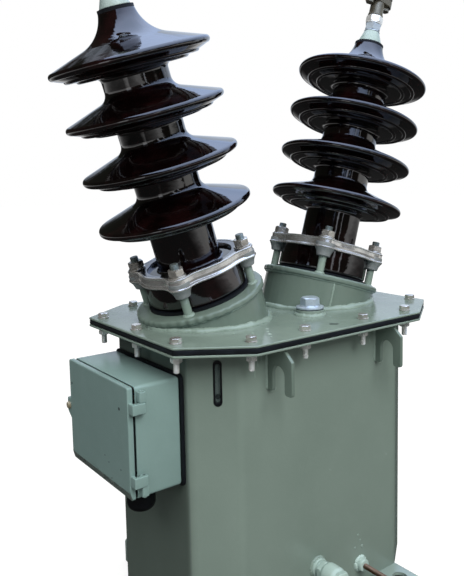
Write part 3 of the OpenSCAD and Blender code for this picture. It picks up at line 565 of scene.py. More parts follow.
def boltSpots():
    # three bolts in each quarter of the lid and one at the middle of each end
    x, y = plate["length"] / 2, plate["width"] / 2
    b = lidBolt
    quarter = [(x - b["endIn"], y - b["endSide"]), (x - b["sideEnd"], y - b["sideIn"]),
               (b["span"] / 2, y - b["sideIn"])]
    ends = [(x - b["endIn"], 0), (b["endIn"] - x, 0)]
    return ends + [(sx * px, sy * py) for px, py in quarter for sx in (-1, 1) for sy in (-1, 1)]


def makeLidBolts():
    # heads and washers above the lid; washer, spring washer, nut and thread end under the flange
    b, form, nuts = lidBolt, Form(), Form()
    random = np.random.default_rng(4)
    under = -(plate["lidThick"] + plate["gasketThick"] + plate["flangeThick"])
    for x, y in boltSpots():
        at = Matrix.Translation((x, y, lidTop))
        turned = at @ Matrix.Rotation(random.uniform(0, math.pi), 4, "Z")
        form.add(washerRows(b["washerRadius"], b["washer"]), at)
        form.add(hexRows(b["across"], b["head"]), turned @ Matrix.Translation((0, 0, b["washer"])))
        low = Matrix.Translation((0, 0, under - b["washer"]))
        nuts.add(washerRows(b["washerRadius"], b["washer"]), at @ low)
        nutAt = turned @ low @ Matrix.Rotation(math.pi, 4, "X")
        nuts.add(springRows(b["thread"] + 0.0002, b["springRadius"], b["spring"]), nutAt)
        nutAt = nutAt @ Matrix.Translation((0, 0, b["spring"]))
        nuts.add(hexRows(b["across"], b["nut"], both=True), nutAt)
        tail = b["length"] + under - b["washer"] - b["spring"]
        nuts.add(threadRows(b["thread"], 0, tail, b["pitch"], 20), nutAt)
    form.make("lidBoltSet", stainless, "zinc_hardware", ["lid_bolts"], sharp=28)
    nuts.make("lidNutSet", zinc, "zinc_hardware", sharp=28)


makeLidBolts()
print("lid bolts made")


turret = {
    "rake": math.radians(16.9), "apart": 0.1042, "radius": 0.0865, "wall": 0.004,
    "height": 0.038, "ringOut": 0.0045, "ringThick": 0.009, "ringEdge": 0.0035, "hole": 0.043,
    "lumps": 0.0007,
}


def onBushing(side):
    # stands on the lid at side * apart and leans outwards by the rake
    base = Matrix.Translation((side * turret["apart"], 0, lidTop))
    return base @ Matrix.Rotation(side * turret["rake"], 4, "Y")


def footLevel(angle, side, radius):
    # level along the leaning axis at which a tube of that radius meets the lid
    return radius * np.cos(angle) * math.tan(side * turret["rake"])


def turretSkin(side, seed):
    # a tube from the lid's plane to its rolled ring; the ring's edge swells a little round its turn
    t, angle = turret, ring(288)
    outer = rounded([(t["radius"], t["height"] - t["ringThick"]),
                     (t["radius"] + t["ringOut"], t["height"] - t["ringThick"]),
                     (t["radius"] + t["ringOut"], t["height"]), (t["hole"], t["height"])],
                    [0.001, t["ringEdge"], t["ringEdge"], 0.001], 6, closed=False)
    inner = [(t["hole"], t["height"] - t["ringThick"]),
             (t["radius"] - t["wall"], t["height"] - t["ringThick"])]
    profile = np.concatenate([outer, inner])
    swell = np.exp(-((profile[:, 0] - t["radius"] - t["ringOut"]) / 0.004) ** 2)
    share = angle / (2 * math.pi)
    lump = (wander(share, seed, 14, 3) + wander(share, seed + 3, 9, 40)) * t["lumps"]
    radius = profile[:, :1] + swell[:, None] * lump[None]
    level = np.broadcast_to(profile[:, 1:], radius.shape)
    level = level - swell[:, None] * np.abs(lump)[None] * 0.3
    low = np.stack([np.full(angle.shape, t["radius"]), footLevel(angle, side, t["radius"])])
    inside = t["radius"] - t["wall"]
    lowIn = np.stack([np.full(angle.shape, inside), footLevel(angle, side, inside)])
    radius = np.concatenate([low[:1], radius, lowIn[:1]])
    level = np.concatenate([low[1:], level, lowIn[1:]])
    return np.concatenate([radius[..., None] * direction(angle)[None], level[..., None]], 2)


def baseWeld(side, seed):
    # bead along the ellipse in which the leaning tube meets the lid
    angle = ring(300)
    radius = turret["radius"] + 0.0012
    spot = radius * direction(angle)
    path = np.column_stack([spot, footLevel(angle, side, radius)])
    path = settle(path, onBushing(side))
    path[:, 2] = lidTop + 0.0012
    out = path - np.array([side * turret["apart"], 0, lidTop])
    out[:, 2] = 0
    out /= np.linalg.norm(out, axis=1, keepdims=True)
    return bead(path, out + np.array([0, 0, 0.9]), 0.0052, seed, 0.005, height=0.75)


def lipWeld(side, seed):
    # thin bead in the corner under the turret's ring
    angle = ring(240)
    path = np.column_stack([(turret["radius"] + 0.0006) * direction(angle),
                            np.full(240, turret["height"] - turret["ringThick"] - 0.0004)])
    out = np.column_stack([direction(angle), np.full(240, -0.8)])
    return settle(bead(path, out, 0.0022, seed, 0.004), onBushing(side))


def seamWeld(side, turn, seed):
    # upright bead where the turret's rolled sheet closes
    angle = turn * math.pi / 180
    foot = float(footLevel(np.array(angle), side, turret["radius"]))
    level = np.linspace(foot, turret["height"] - turret["ringThick"], 40)
    out = np.append(direction(np.array(angle)), 0)
    path = np.outer(np.full(40, turret["radius"]), out) + np.outer(level, [0, 0, 1])
    return settle(bead(path, np.tile(out, (40, 1)), 0.0016, seed, 0.003, False), onBushing(side))


def makeTurrets():
    # tube, weld at its foot, weld under its ring and closing seam, for each side
    for side, name in ((-1, "left"), (1, "right")):
        skin = Form().add(turretSkin(side, 20 + side), onBushing(side), ends=(False, False))
        skin.make("turretTube_" + name, shadedTurretPaint, "tank_paint", ["turret_" + name], sharp=40)
        weld = Form().add(baseWeld(side, 31 + side), loopRows=True)
        weld.add(lipWeld(side, 41 + side), loopRows=True)
        weld.add(seamWeld(side, 208 if side < 0 else 242, 51))
        weld.make("turretWelds_" + name, litWeldPaint, "tank_paint", sharp=60)


makeTurrets()
print("turrets made")


clamp = {
    "level": 0.086, "studAt": 0.054, "flange": 0.0742, "ear": 0.016, "fillet": 0.036,
    "plate": 0.006, "skirt": 0.0092, "lip": 0.0026, "core": 0.0605, "inside": 0.0708,
    "bossLow": 0.0102, "bossHigh": 0.0148, "bossLength": 0.0215,
}


def clampOutline(steps=22):
    # round flange with an ear round each stud, joined by fillets that touch both circles; the law
    # of cosines gives how far each fillet's centre swings from the stud, and how far its arc turns
    c = clamp
    far, near = c["flange"] + c["fillet"], c["ear"] + c["fillet"]
    out = c["studAt"] * math.sqrt(2)
    swing = math.acos((far ** 2 + out ** 2 - near ** 2) / (2 * far * out))
    turn = math.acos((far ** 2 + near ** 2 - out ** 2) / (2 * far * near))
    parts = []
    for k in range(4):
        middle = math.pi / 4 + k * math.pi / 2
        first, last = middle - swing, middle + swing
        into = np.linspace(first + math.pi, first + math.pi - turn, 9)[:-1]
        ear = np.linspace(first - turn, last + turn, steps)[:-1]
        back = np.linspace(last + math.pi + turn, last + math.pi, 9)[:-1]
        side = np.linspace(last, middle + math.pi / 2 - swing, steps)[:-1]
        parts += [far * direction(first) + c["fillet"] * direction(into),
                  out * direction(middle) + c["ear"] * direction(ear),
                  far * direction(last) + c["fillet"] * direction(back),
                  c["flange"] * direction(side)]
    return np.concatenate(parts)


def clampSkin():
    # sides: a shelf underneath, a low lip with a sloping top, a wall and a rolled top edge;
    # top: a face that falls gently to the bore
    c, outline = clamp, clampOutline()
    low, high, lip = c["level"] - c["skirt"], c["level"] + c["plate"], c["lip"]
    wall = rounded([(0.0032, low + 0.0034), (0.0032, low), (0, low), (0, low + 0.0018),
                    (lip, low + 0.0040), (lip * 0.85, low + 0.0075), (lip * 1.05, high - 0.0026),
                    (lip * 0.75, high - 0.0019), (lip * 0.75, high), (0.0056, high),
                    (0.0064, high - 0.0006)],
                   [0, 0.0005, 0.0006, 0.0008, 0.0009, 0.004, 0.0006, 0.0006, 0.0009, 0.0006, 0],
                   5, closed=False)
    sides = carry(outline, wall)
    angle = np.arctan2(outline[:, 1], outline[:, 0])
    rim = sides[-1, :, :2]
    core = c["core"] * direction(angle)
    share = np.linspace(0, 1, 8)[1:, None, None]
    flat = rim[None] * (1 - share) + core[None] * share
    fall = np.broadcast_to(high - 0.0006 - 0.0006 * share, flat.shape[:2] + (1,))
    top = np.concatenate([flat, fall], 2)
    within = c["inside"] * direction(angle)
    shelf = np.column_stack([within, np.full(len(core), low + 0.0034)])[None]
    bore = np.column_stack([core * 0.99, np.full(len(core), high - 0.0022)])[None]
    sill = np.column_stack([core * 0.99, np.full(len(core), c["level"])])[None]
    return np.concatenate([shelf, sides]), np.concatenate([sides[-1:], top, bore, sill])


def bossRows():
    # cone under each lobe that widens to the plate's lip in a hollow curve, its lower end rounded
    c = clamp
    share = np.linspace(0, 1, 10)
    reach = c["bossLow"] + (c["bossHigh"] - c["bossLow"]) * (0.5 * share + 0.5 * share ** 3)
    rise = c["bossLength"] - c["skirt"] - 0.0008
    side = np.column_stack([reach, -c["bossLength"] + share * rise])
    foot = rounded([(0, -c["bossLength"]), tuple(side[0]), tuple(side[1])], [0, 0.0014, 0], 4,
                   closed=False)
    head = [(c["bossHigh"], -0.001), (0, -0.001)]
    return revolve(np.concatenate([foot[:-1], side[1:], head]), 36)


stud = {
    "radius": 0.006, "length": 0.072, "pitch": 0.00175, "across": 0.0192, "nut": 0.0096,
    "washer": 0.002, "washerRadius": 0.012,
}


def studSpots():
    # the four corners of a square round the bushing's axis
    return [(x * clamp["studAt"], y * clamp["studAt"]) for x in (-1, 1) for y in (-1, 1)]


def makeClamps():
    # plate, face, bosses, threaded studs with nuts, and the studs' welded roots, for each side
    random = np.random.default_rng(11)
    high = clamp["level"] + clamp["plate"]
    for side, name in ((-1, "left"), (1, "right")):
        frameHere = onBushing(side)
        sides, face = clampSkin()
        Form().add(sides, frameHere, ends=(False, False)).make(
            "clampPlate_" + name, castRing, "cast_aluminium", ["clamp_ring_" + name], sharp=50)
        Form().add(face, frameHere, ends=(False, False)).make(
            "clampFace_" + name, castFaceShaded, "cast_aluminium", sharp=50)
        bosses, studs, nuts, roots = Form(), Form(), Form(), Form()
        for x, y in studSpots():
            at = frameHere @ Matrix.Translation((x, y, 0))
            bosses.add(bossRows(), at @ Matrix.Translation((0, 0, clamp["level"] - 0.0002)))
            base = turret["height"]
            top = base + stud["length"]
            studs.add(threadRows(stud["radius"], clamp["level"] - 0.03, top, stud["pitch"], 28), at)
            roots.add(revolve([(0, base), (stud["radius"] - 0.0002, base),
                               (stud["radius"] - 0.0002, clamp["level"] - 0.012),
                               (0, clamp["level"] - 0.012)], 28), at)
            loop = ring(60)
            circle = np.column_stack([(stud["radius"] + 0.0006) * direction(loop),
                                      np.full(60, base + 0.0006)])
            lean = np.column_stack([direction(loop), np.full(60, 0.9)])
            root = bead(circle, lean, 0.0026, int(random.integers(99)), 0.004)
            roots.add(root, at, loopRows=True)
            turned = at @ Matrix.Rotation(random.uniform(0, math.pi), 4, "Z")
            nuts.add(washerRows(stud["washerRadius"], stud["washer"]),
                     at @ Matrix.Translation((0, 0, high)))
            nuts.add(hexRows(stud["across"], stud["nut"], both=True),
                     turned @ Matrix.Translation((0, 0, high + stud["washer"])))
        bosses.make("clampBosses_" + name, castBoss, "cast_aluminium", sharp=40)
        studs.make("studThreads_" + name, greySteel, "zinc_hardware", ["clamp_studs_" + name],
                   sharp=30)
        nuts.make("studNuts_" + name, stainless, "zinc_hardware", sharp=28)
        roots.make("studRoots_" + name, litWeldPaint, "tank_paint", sharp=50)


makeClamps()
print("clamp rings and studs made")


# neck is where the porcelain ends: turret and seat ring, the lowest rim's level above them, three
# pitches between the sheds, and the rise from the top rim
top = {
    "neck": 0.042 + 0.119 + 3 * 0.0685 + 0.0585, "seal": 0.0045, "capLow": 0.0205,
    "capHigh": 0.0125, "capHeight": 0.021, "stem": 0.008, "across": 0.024, "nut": 0.0125,
    "washer": 0.0015, "washerRadius": 0.013, "barrel": 0.023,
}


def makeTops():
    # cone cap, two nuts at their own angles and the threaded stem, for each side
    t = top
    for side, name in ((-1, "left"), (1, "right")):
        at = onBushing(side) @ Matrix.Translation((0, 0, t["neck"] + t["seal"]))
        bore = t["stem"] + 0.0005
        profile = rounded([(bore, 0), (t["capLow"], 0), (t["capHigh"], t["capHeight"]),
                           (bore, t["capHeight"])], [0, 0.0012, 0.0014, 0], 4)
        Form().add(revolve(profile, 72), at, loopRows=True).make(
            "coneCap_" + name, capPaint, "cap_paint", ["cap_" + name])
        stem, nuts = Form(), (Form(), Form())
        step = t["nut"] + t["washer"]
        for k, turn in ((0, 0.3), (1, 0.9)):
            here = at @ Matrix.Translation((0, 0, t["capHeight"] + k * step))
            nuts[k].add(washerRows(t["washerRadius"], t["washer"]), here)
            hexHere = here @ Matrix.Translation((0, 0, t["washer"])) @ Matrix.Rotation(turn, 4, "Z")
            nuts[k].add(hexRows(t["across"], t["nut"], both=True), hexHere)
        tip = t["capHeight"] + 2 * step + t["barrel"]
        stem.add(threadRows(t["stem"], -0.4, tip, 0.002, 24), at)
        stem.make("stemThread_" + name, greySteel, "zinc_hardware", ["stem_" + name], sharp=28)
        nuts[0].make("stemNut_" + name, blueZinc, "zinc_hardware", sharp=28)
        nuts[1].make("stemLockNut_" + name, zinc, "zinc_hardware", sharp=28)


makeTops()
for name in ("left", "right"):
    softened("connector_" + name, "connectorBody_" + name, bronze, 0.0008)
    softened("keeper_" + name, "keeperBody_" + name, bronze, 0.0006)
print("caps, stems and connectors made")


tank = {
    "length": 0.395, "width": 0.267, "cutX": 0.054, "cutY": 0.040, "flangeUnder": 0.013,
    "footHigh": 0.038,
}
flangeLow = lidTop - tank["flangeUnder"]


hook = {
    "x": 0.100, "thick": 0.005, "out": 0.049, "height": 0.059, "slot": 0.023, "slotIn": 0.0117,
    "over": 0.024, "cutX": 0.0175, "cutY": 0.015, "edge": 0.0008, "bead": 0.0024,
}


def hookOutline():
    # plate with a round-topped slot and a bevelled outer corner; x runs out from the wall
    h, slotEnd = hook, hook["slotIn"] + hook["slot"]
    corners = [(0, -h["height"]), (h["slotIn"], -h["height"]), (h["slotIn"], -h["over"]),
               (slotEnd, -h["over"]), (slotEnd, -h["height"]), (h["out"], -h["height"]),
               (h["out"], -h["cutY"]), (h["out"] - h["cutX"], 0), (0, 0)]
    arch = h["slot"] / 2 - 0.00002
    return rounded(corners, [0.004, 0.004, arch, arch, 0.004, 0.004, 0.0015, 0.0015, 0], 9)


def makeHooks():
    # four plates on edge under the flange, with a bead down each of their two sides
    h, plates, beads = hook, Form(), Form()
    outwards = Matrix(((0, 0, -1, 0), (-1, 0, 0, 0), (0, 1, 0, 0), (0, 0, 0, 1)))
    for k, (x, turn) in enumerate(((-1, 0), (1, 0), (-1, math.pi), (1, math.pi))):
        spot = (x * h["x"], -tank["width"] / 2, flangeLow)
        root = Matrix.Rotation(turn, 4, "Z") @ Matrix.Translation(spot)
        plates.add(slab(hookOutline(), -h["thick"] / 2, h["thick"] / 2, h["edge"]), root @ outwards)
        for side in (-1, 1):
            # down the wall beside the plate and curling under its end
            level = np.linspace(-0.0005, -h["height"] - 0.001, 46)
            curl = np.clip((level + h["height"]) / 0.004 + 0.35, 0.2, 1)
            across = side * (h["thick"] / 2 + 0.0004) * curl
            path = np.column_stack([across, np.full(46, -0.0004), level])
            lean = np.tile([side * 0.8, -1.0, 0], (46, 1))
            beads.add(bead(path, lean, h["bead"], 60 + k * 2 + side, 0.0036, False), root)
    plates.make("hookPlates", shadedTurretPaint, "tank_paint", ["hooks"], sharp=40)
    beads.make("hookWelds", litWeldPaint, "tank_paint", sharp=60)


makeHooks()
print("lifting hooks made")


filler = {
    "x": 0.0206, "y": -0.0798, "radius": 0.020, "boss": 0.009, "seal": 0.0011, "collar": 0.003,
    "across": 0.024, "hex": 0.013, "turn": math.radians(-7.9),
}


def makeFiller():
    # welded boss, seal, and a plug whose hexagon stands on a collar with a small flare
    f = filler
    at = Matrix.Translation((f["x"], f["y"], lidTop))
    boss = rounded([(0, 0), (f["radius"], 0), (f["radius"], f["boss"] - f["seal"]),
                    (0, f["boss"] - f["seal"])], [0, 0, 0.001, 0], 4, closed=False)
    Form().add(revolve(boss, 72), at).make("fillerNeck", tankPaint, "tank_paint", ["filler_boss"])
    loop = ring(150)
    path = np.column_stack([(f["radius"] + 0.0006) * direction(loop), np.full(150, 0.0006)])
    lean = np.column_stack([direction(loop), np.full(150, 0.8)])
    weld = Form().add(bead(path, lean, 0.0042, 71, 0.0062, height=0.6), at, loopRows=True)
    weld.make("fillerWeld", litWeldPaint, "tank_paint", sharp=60)
    seal = washerRows(f["radius"] - 0.0006, f["seal"])
    Form().add(seal, at @ Matrix.Translation((0, 0, f["boss"] - f["seal"]))).make(
        "fillerSeal", blackRubber, "black_rubber")
    plug = Form().add(washerRows(f["radius"], f["collar"], 0.0009),
                      at @ Matrix.Translation((0, 0, f["boss"])))
    onCollar = at @ Matrix.Translation((0, 0, f["boss"] + f["collar"]))
    hexAt = onCollar @ Matrix.Rotation(f["turn"], 4, "Z")
    plug.add(hexRows(f["across"], f["hex"], 0.2), hexAt)
    root = rounded([(0, -0.0004), (f["across"] / 2 + 0.0026, -0.0004), (f["across"] / 2, 0.0022),
                    (0, 0.0022)], [0, 0.0002, 0.001, 0], 3, closed=False)
    plug.add(revolve(root, 60), onCollar)
    plug.make("fillerPlug", blueZinc, "zinc_hardware", ["filler_plug"], sharp=28)


makeFiller()
print("filler made")


box = {
    "width": 0.173, "height": 0.140, "depth": 0.062, "shift": 0.003, "drop": 0.0475, "sheet": 0.002,
    "corner": 0.005, "backing": 0.004, "backingOut": 0.003, "doorGap": 0.003, "doorDepth": 0.007,
    "fold": 0.0016, "doorCorner": 0.003, "lipRise": 0.0080, "lipDeep": 0.0010, "hingeOut": 0.0055,
    "hingeBack": 0.0058, "leaf": 0.013, "leafIn": 0.0055, "leafThick": 0.0015,
    "knuckle": 0.0044, "step": 0.001, "earWidth": 0.013, "earUp": 0.0105, "earDown": 0.0195,
    "earEnd": 0.009, "lockUp": 0.003, "gasketWidth": 0.004, "gasketGap": 0.0003,
}
boxBack = -tank["length"] / 2 - box["backing"]
mouth = boxBack - box["depth"]
doorBack = mouth - box["doorGap"]
doorFront = doorBack - box["doorDepth"]
boxSides = (box["shift"] - box["width"] / 2, box["shift"] + box["width"] / 2)
boxLevels = (lidTop - box["drop"] - box["height"], lidTop - box["drop"])
lockLevel = (boxLevels[0] + boxLevels[1]) / 2 + box["lockUp"]
hingeX, hingeY = mouth + box["hingeBack"], boxSides[0] - box["hingeOut"]
alongX = Matrix(((0, 0, 1, 0), (1, 0, 0, 0), (0, 1, 0, 0), (0, 0, 0, 1)))
# each hinge: the lower end of its door leaf, and the level at which its box leaf starts
leafTop, leafLow = boxLevels[1] - box["leafIn"], boxLevels[0] + box["leafIn"]
hinges = [(leafTop - 2 * box["leaf"], leafTop - box["leaf"]), (leafLow + box["leaf"], leafLow)]
onHinge = Matrix.Translation((hingeX, hingeY, 0))


def boxOutline(out, corner):
    # the box seen along X, grown by out
    return rounded(rectangle(boxSides[0] - out, boxLevels[0] - out, boxSides[1] + out,
                             boxLevels[1] + out), corner, 5)


def makeBoxShell():
    # folded sheet carried round the box's outline, its two hinge leaves and the pad behind it
    b, sheet = box, box["sheet"]
    section = rounded([(sheet + 0.0025, boxBack - sheet), (sheet, boxBack - sheet), (sheet, mouth),
                       (0, mouth), (0, boxBack), (0.0046, boxBack)],
                      [0, 0.002, 0.0007, 0.0007, 0.0035, 0], 4, closed=False)
    shell = Form().add(carry(boxOutline(0, b["corner"]), section), alongX)
    k = b["knuckle"]
    leaf = rounded([(-k, -1.0 * k), (k, -1.0 * k), (k, b["hingeOut"] + 0.0008),
                    (-k, b["hingeOut"] + 0.0008)], [0.0016, 0.0012, 0, 0], 4)
    for _, start in hinges:
        shell.add(slab(leaf, start, start + b["leaf"], 0.0009), onHinge)
    shell.make("boxShell", boxPaint, "box_paint", ["terminal_box"], sharp=40)
    padOutline = boxOutline(b["backingOut"], b["corner"] + b["backingOut"])
    pad = slab(padOutline, boxBack, boxBack + b["backing"], 0.0008)
    Form().add(pad, alongX).make("boxBackingPad", blackRubber, "black_rubber", ["box_backing"])


def makeDoor():
    # shallow pan carried round the outline, its sloped lower lip, hinge leaves, lock ear and gasket
    b, sheet = box, box["sheet"]
    # known fault: its first inset, sheet + 0.0032, is more than doorCorner, so the inner face's
    # ring crosses itself at the four corners and some triangles of that face are turned over
    section = rounded([(sheet + 0.0032, doorFront + sheet), (sheet, doorFront + sheet),
                       (sheet, doorBack), (0, doorBack), (0, doorFront),
                       (b["fold"] + 0.0004, doorFront)],
                      [0, 0.0026, 0.0007, 0.0007, b["fold"], 0], 6, closed=False)
    skin = carry(boxOutline(0, b["doorCorner"]), section)
    # the lower edge of the outer skin leans back to the rim as a plain slope
    outer = np.arange(len(section)) > len(section) // 2 + 2
    share = np.clip(1 - (section[:, 1] - doorFront) / b["fold"], 0, 1) * outer
    lowest = skin[0, :, 1] < boxLevels[0] + 0.02
    skin[..., 1] += np.outer(share, lowest) * b["lipRise"]
    slope = (1 - share) * b["lipDeep"] * (section[:, 1] < doorBack - 0.002) * outer
    skin[..., 2] += np.outer(slope, lowest)
    pan = Form().add(skin, alongX)
    sloped = np.flatnonzero(outer & (section[:, 1] < doorFront + b["fold"] + 0.0001))
    # a sheet in the darker lip paint laid just outside the sloped lip: painted shade
    lip = skin[sloped[0]:sloped[-1] + 1, lowest] - [0, 0, 0.00015]
    Form().add(lip, alongX, loopColumns=False, ends=(False, False)).make(
        "doorLip", shadedLipPaint, "box_paint", body="door", sharp=40)
    k, thick = b["knuckle"], b["leafThick"]
    reach = hingeX - doorFront - b["step"]
    inner = -reach + b["doorDepth"] - 2 * b["step"]
    # the leaf wraps from the door's side round the pin; its corners clear the box as it turns
    leaf = rounded([(-reach, -k - thick), (0.0024, -k - thick), (k, -0.0025), (k, 0.001),
                    (0.001, k), (-0.0035, k), (-k, 0), (inner, 0),
                    (inner, b["hingeOut"] + 0.001), (-reach, b["hingeOut"] + 0.001)],
                   [0.0011, 0.0008, 0.0012, 0.002, 0.002, 0.0014, 0.0006, 0.0004, 0, 0], 4)
    for start, _ in hinges:
        pan.add(slab(leaf, start, start + b["leaf"], 0.0009), onHinge)
    y0, y1 = boxSides[1] - sheet / 2, boxSides[1] + b["earWidth"]
    ear = rounded([(y0, lockLevel - b["earDown"]), (y1, lockLevel - b["earEnd"]),
                   (y1, lockLevel + b["earUp"]), (y0, lockLevel + b["earUp"])],
                  [0, 0.003, 0.0025, 0], 5)
    pan.add(slab(ear, doorFront + b["step"], doorBack, 0.0009), alongX)
    pan.make("doorPan", boxPaint, "box_paint", ["box_door"], "door", sharp=40)
    loop = rounded(rectangle(sheet, doorFront + sheet, sheet + b["gasketWidth"],
                             mouth - b["gasketGap"]), 0.0011, 3)
    strip = carry(boxOutline(0, b["doorCorner"]), loop)
    Form().add(strip, alongX, loopRows=True).make(
        "doorGasketStrip", blackRubber, "black_rubber", ["door_gasket"], "door")


lock = {"radius": 0.0045, "height": 0.004, "arm": 0.0007, "recess": 0.0013, "dome": 0.0011}


def makeLock():
    # cheese head whose face falls with the square of its radius; a cross is sunk into it where
    # either coordinate is under half an arm's width
    radius, high = lock["radius"], lock["height"]
    share = np.array([0.001, 0.12, 0.2, 0.28, 0.36, 0.44, 0.5, 0.53, 0.62, 0.72, 0.82, 0.9, 0.96,
                      0.99])
    angle = ring(72)
    x = radius * share[:, None] * np.cos(angle)[None]
    y = radius * share[:, None] * np.sin(angle)[None]
    dome = high - lock["dome"] * share[:, None] ** 2 + 0 * x
    sunk = (np.minimum(np.abs(x), np.abs(y)) < lock["arm"]) & (share[:, None] < 0.52)
    head = np.stack([x, y, dome - lock["recess"] * sunk], -1)
    side = revolve([(radius, high - 0.0016), (radius, 0.0008), (radius + 0.0008, 0.0008),
                    (radius + 0.0008, 0.0001), (0.002, 0.0001)], 72)
    spot = (doorFront + box["step"], boxSides[1] + box["earWidth"] / 2, lockLevel)
    at = Matrix.Translation(spot) @ Matrix.Rotation(-math.pi / 2, 4, "Y")
    Form().add(np.concatenate([head, side]), at).make(
        "lockScrew", paleBrass, "brass", ["door_lock"], "door", sharp=34)


gland = {"radius": 0.0185, "length": 0.041, "edge": 0.011, "bore": 0.008, "off": 0.034,
         "neck": 0.012}


def makeGland():
    # domed nut whose upper band is fluted: the radius dips with the cosine of 20 times the angle
    g = gland
    profile = rounded([(g["bore"] + 0.001, 0), (g["radius"], 0), (g["radius"], -g["length"]),
                       (g["bore"], -g["length"]), (g["bore"], -g["length"] + 0.006),
                       (0.0005, -g["length"] + 0.008)],
                      [0, 0.0012, g["edge"] - 0.0006, 0.0008, 0.001, 0], 9, closed=False)
    skin = revolve(profile, 160)
    dip = np.clip(np.cos(ring(160) * 20), 0, 1)[None, :, None] * 0.035
    level = skin[..., 2:]
    band = np.clip((level + 0.024) / 0.001, 0, 1) * np.clip((-0.0016 - level) / 0.001, 0, 1)
    skin[..., :2] *= 1 - dip * band
    middle = ((boxBack + mouth) / 2, box["shift"] - g["off"], boxLevels[0])
    form = Form().add(skin, Matrix.Translation(middle))
    neckTop = box["sheet"] + 0.003
    neck = rounded([(g["bore"], -0.001), (g["neck"], -0.001), (g["neck"], neckTop),
                    (g["bore"], neckTop)], [0, 0, 0.0008, 0.0008], 3)
    form.add(revolve(neck, 60), Matrix.Translation(middle), loopRows=True)
    form.make("glandNut", blackPlastic, "black_plastic", ["cable_gland"], sharp=40)


board = {"thick": 0.010, "width": 0.130, "height": 0.052, "in": 0.012, "studs": 4, "stud": 0.003,
         "reach": 0.020}


def makeBoard():
    # laminate plate with threaded studs at equal pitch, each with a washer and two nuts
    b = board
    low = boxLevels[1] - b["in"] - b["height"]
    front = boxBack - box["sheet"] - b["thick"]
    y0 = box["shift"] - b["width"] / 2
    plateHere = rounded(rectangle(y0, low, y0 + b["width"], low + b["height"]), 0.003, 4)
    Form().add(slab(plateHere, front, front + b["thick"], 0.001), alongX).make(
        "boardPlate", boardResin, "terminal_board", ["terminal_board"])
    studs = Form()
    towards = Matrix.Rotation(-math.pi / 2, 4, "Y")
    for k in range(b["studs"]):
        y = y0 + (k + 0.5) * b["width"] / b["studs"]
        at = Matrix.Translation((front, y, low + b["height"] / 2)) @ towards
        studs.add(threadRows(b["stud"], -0.001, b["reach"], 0.001, 20), at)
        studs.add(washerRows(0.0062, 0.0008), at)
        for step, turn in ((0.0008, 0.2), (0.0075, 0.7)):
            hexAt = at @ Matrix.Translation((0, 0, step)) @ Matrix.Rotation(turn, 4, "Z")
            studs.add(hexRows(0.0096, 0.0046, both=True), hexAt)
    studs.make("boardStuds", brass, "brass", sharp=28)


makeBoxShell()
makeDoor()
makeLock()
makeGland()
makeBoard()
softened("hinge_pins", "hingePinSet", boxPaint, 0.0004)
print("terminal box, door and gland made")


gauge = {
    "width": 0.011, "height": 0.059, "drop": 0.026, "shift": 0.0048, "rim": 0.0022, "end": 0.0045,
    "out": 0.001, "depth": 0.006, "back": 0.0015,
}


def slotOutline(width, height, count=14):
    # two half circles joined by straight sides
    arc = np.linspace(0, math.pi, count)
    upper = width / 2 * direction(arc) + [0, (height - width) / 2]
    return np.concatenate([upper, -upper])


def onGauge():
    # Z out of the bevel's middle, Y upwards
    g = gauge
    turn = math.atan2(-tank["cutX"], -tank["cutY"]) + math.pi / 2
    middle = (-tank["length"] / 2 + tank["cutX"] / 2, -tank["width"] / 2 + tank["cutY"] / 2,
              lidTop - g["drop"] - g["height"] / 2)
    upright = Matrix.Rotation(turn, 4, "Z") @ Matrix.Rotation(math.pi / 2, 4, "X")
    return Matrix.Translation(middle) @ upright @ Matrix.Translation((g["shift"], 0, 0))


def makeGauge():
    # rim between the outer slot and the pane's slot, both of the same count of points
    g, at = gauge, onGauge()
    outer = slotOutline(g["width"], g["height"])
    inner = slotOutline(g["width"] - 2 * g["rim"], g["height"] - 2 * g["end"])
    over = rounded([(0, -g["depth"]), (0, g["out"]), (0.0012, g["out"])], [0, 0.0007, 0], 4,
                   closed=False)
    under = rounded([(-0.0008, g["out"]), (0, g["out"]), (0, g["back"] - g["depth"])],
                    [0, 0.0005, 0], 4, closed=False)
    rim = np.concatenate([carry(outer, over), carry(inner, under)])
    Form().add(rim, at).make(
        "gaugeRim", blackPlastic, "black_plastic", ["gauge_surround"], sharp=40)
    card = slotOutline(g["width"] - 2 * g["rim"] - 0.0002, g["height"] - 2 * g["end"] - 0.0002)
    level = g["back"] - g["depth"]
    Form().add(slab(card, level, level + 0.0003, 0.0001), at).make(
        "gaugeCard", oilCard, "black_plastic")


makeGauge()
print("oil gauge made")


drain = {
    "x": -0.017, "z": 0.056, "root": 0.013, "collar": 0.006, "pipe": 0.009, "length": 0.010,
    "across": 0.024, "nut": 0.008, "body": 0.015, "bodyLength": 0.024,
}
earth = {"x": 0.067, "z": 0.029, "radius": 0.009, "boss": 0.010, "stud": 0.004, "length": 0.048,
         "pitch": 0.00125}


def onFront(place):
    # Z out of the tank's front wall
    spot = (place["x"], -tank["width"] / 2, tank["footHigh"] + place["z"])
    return Matrix.Translation(spot) @ Matrix.Rotation(math.pi / 2, 4, "X")


def rootBead(radius, width, seed):
    # bead round a boss where it meets the wall
    loop = ring(120)
    path = np.column_stack([(radius + width * 0.2) * direction(loop), np.full(120, width * 0.15)])
    lean = np.column_stack([direction(loop), np.full(120, 0.8)])
    return bead(path, lean, width, seed, 0.0038, height=0.7)


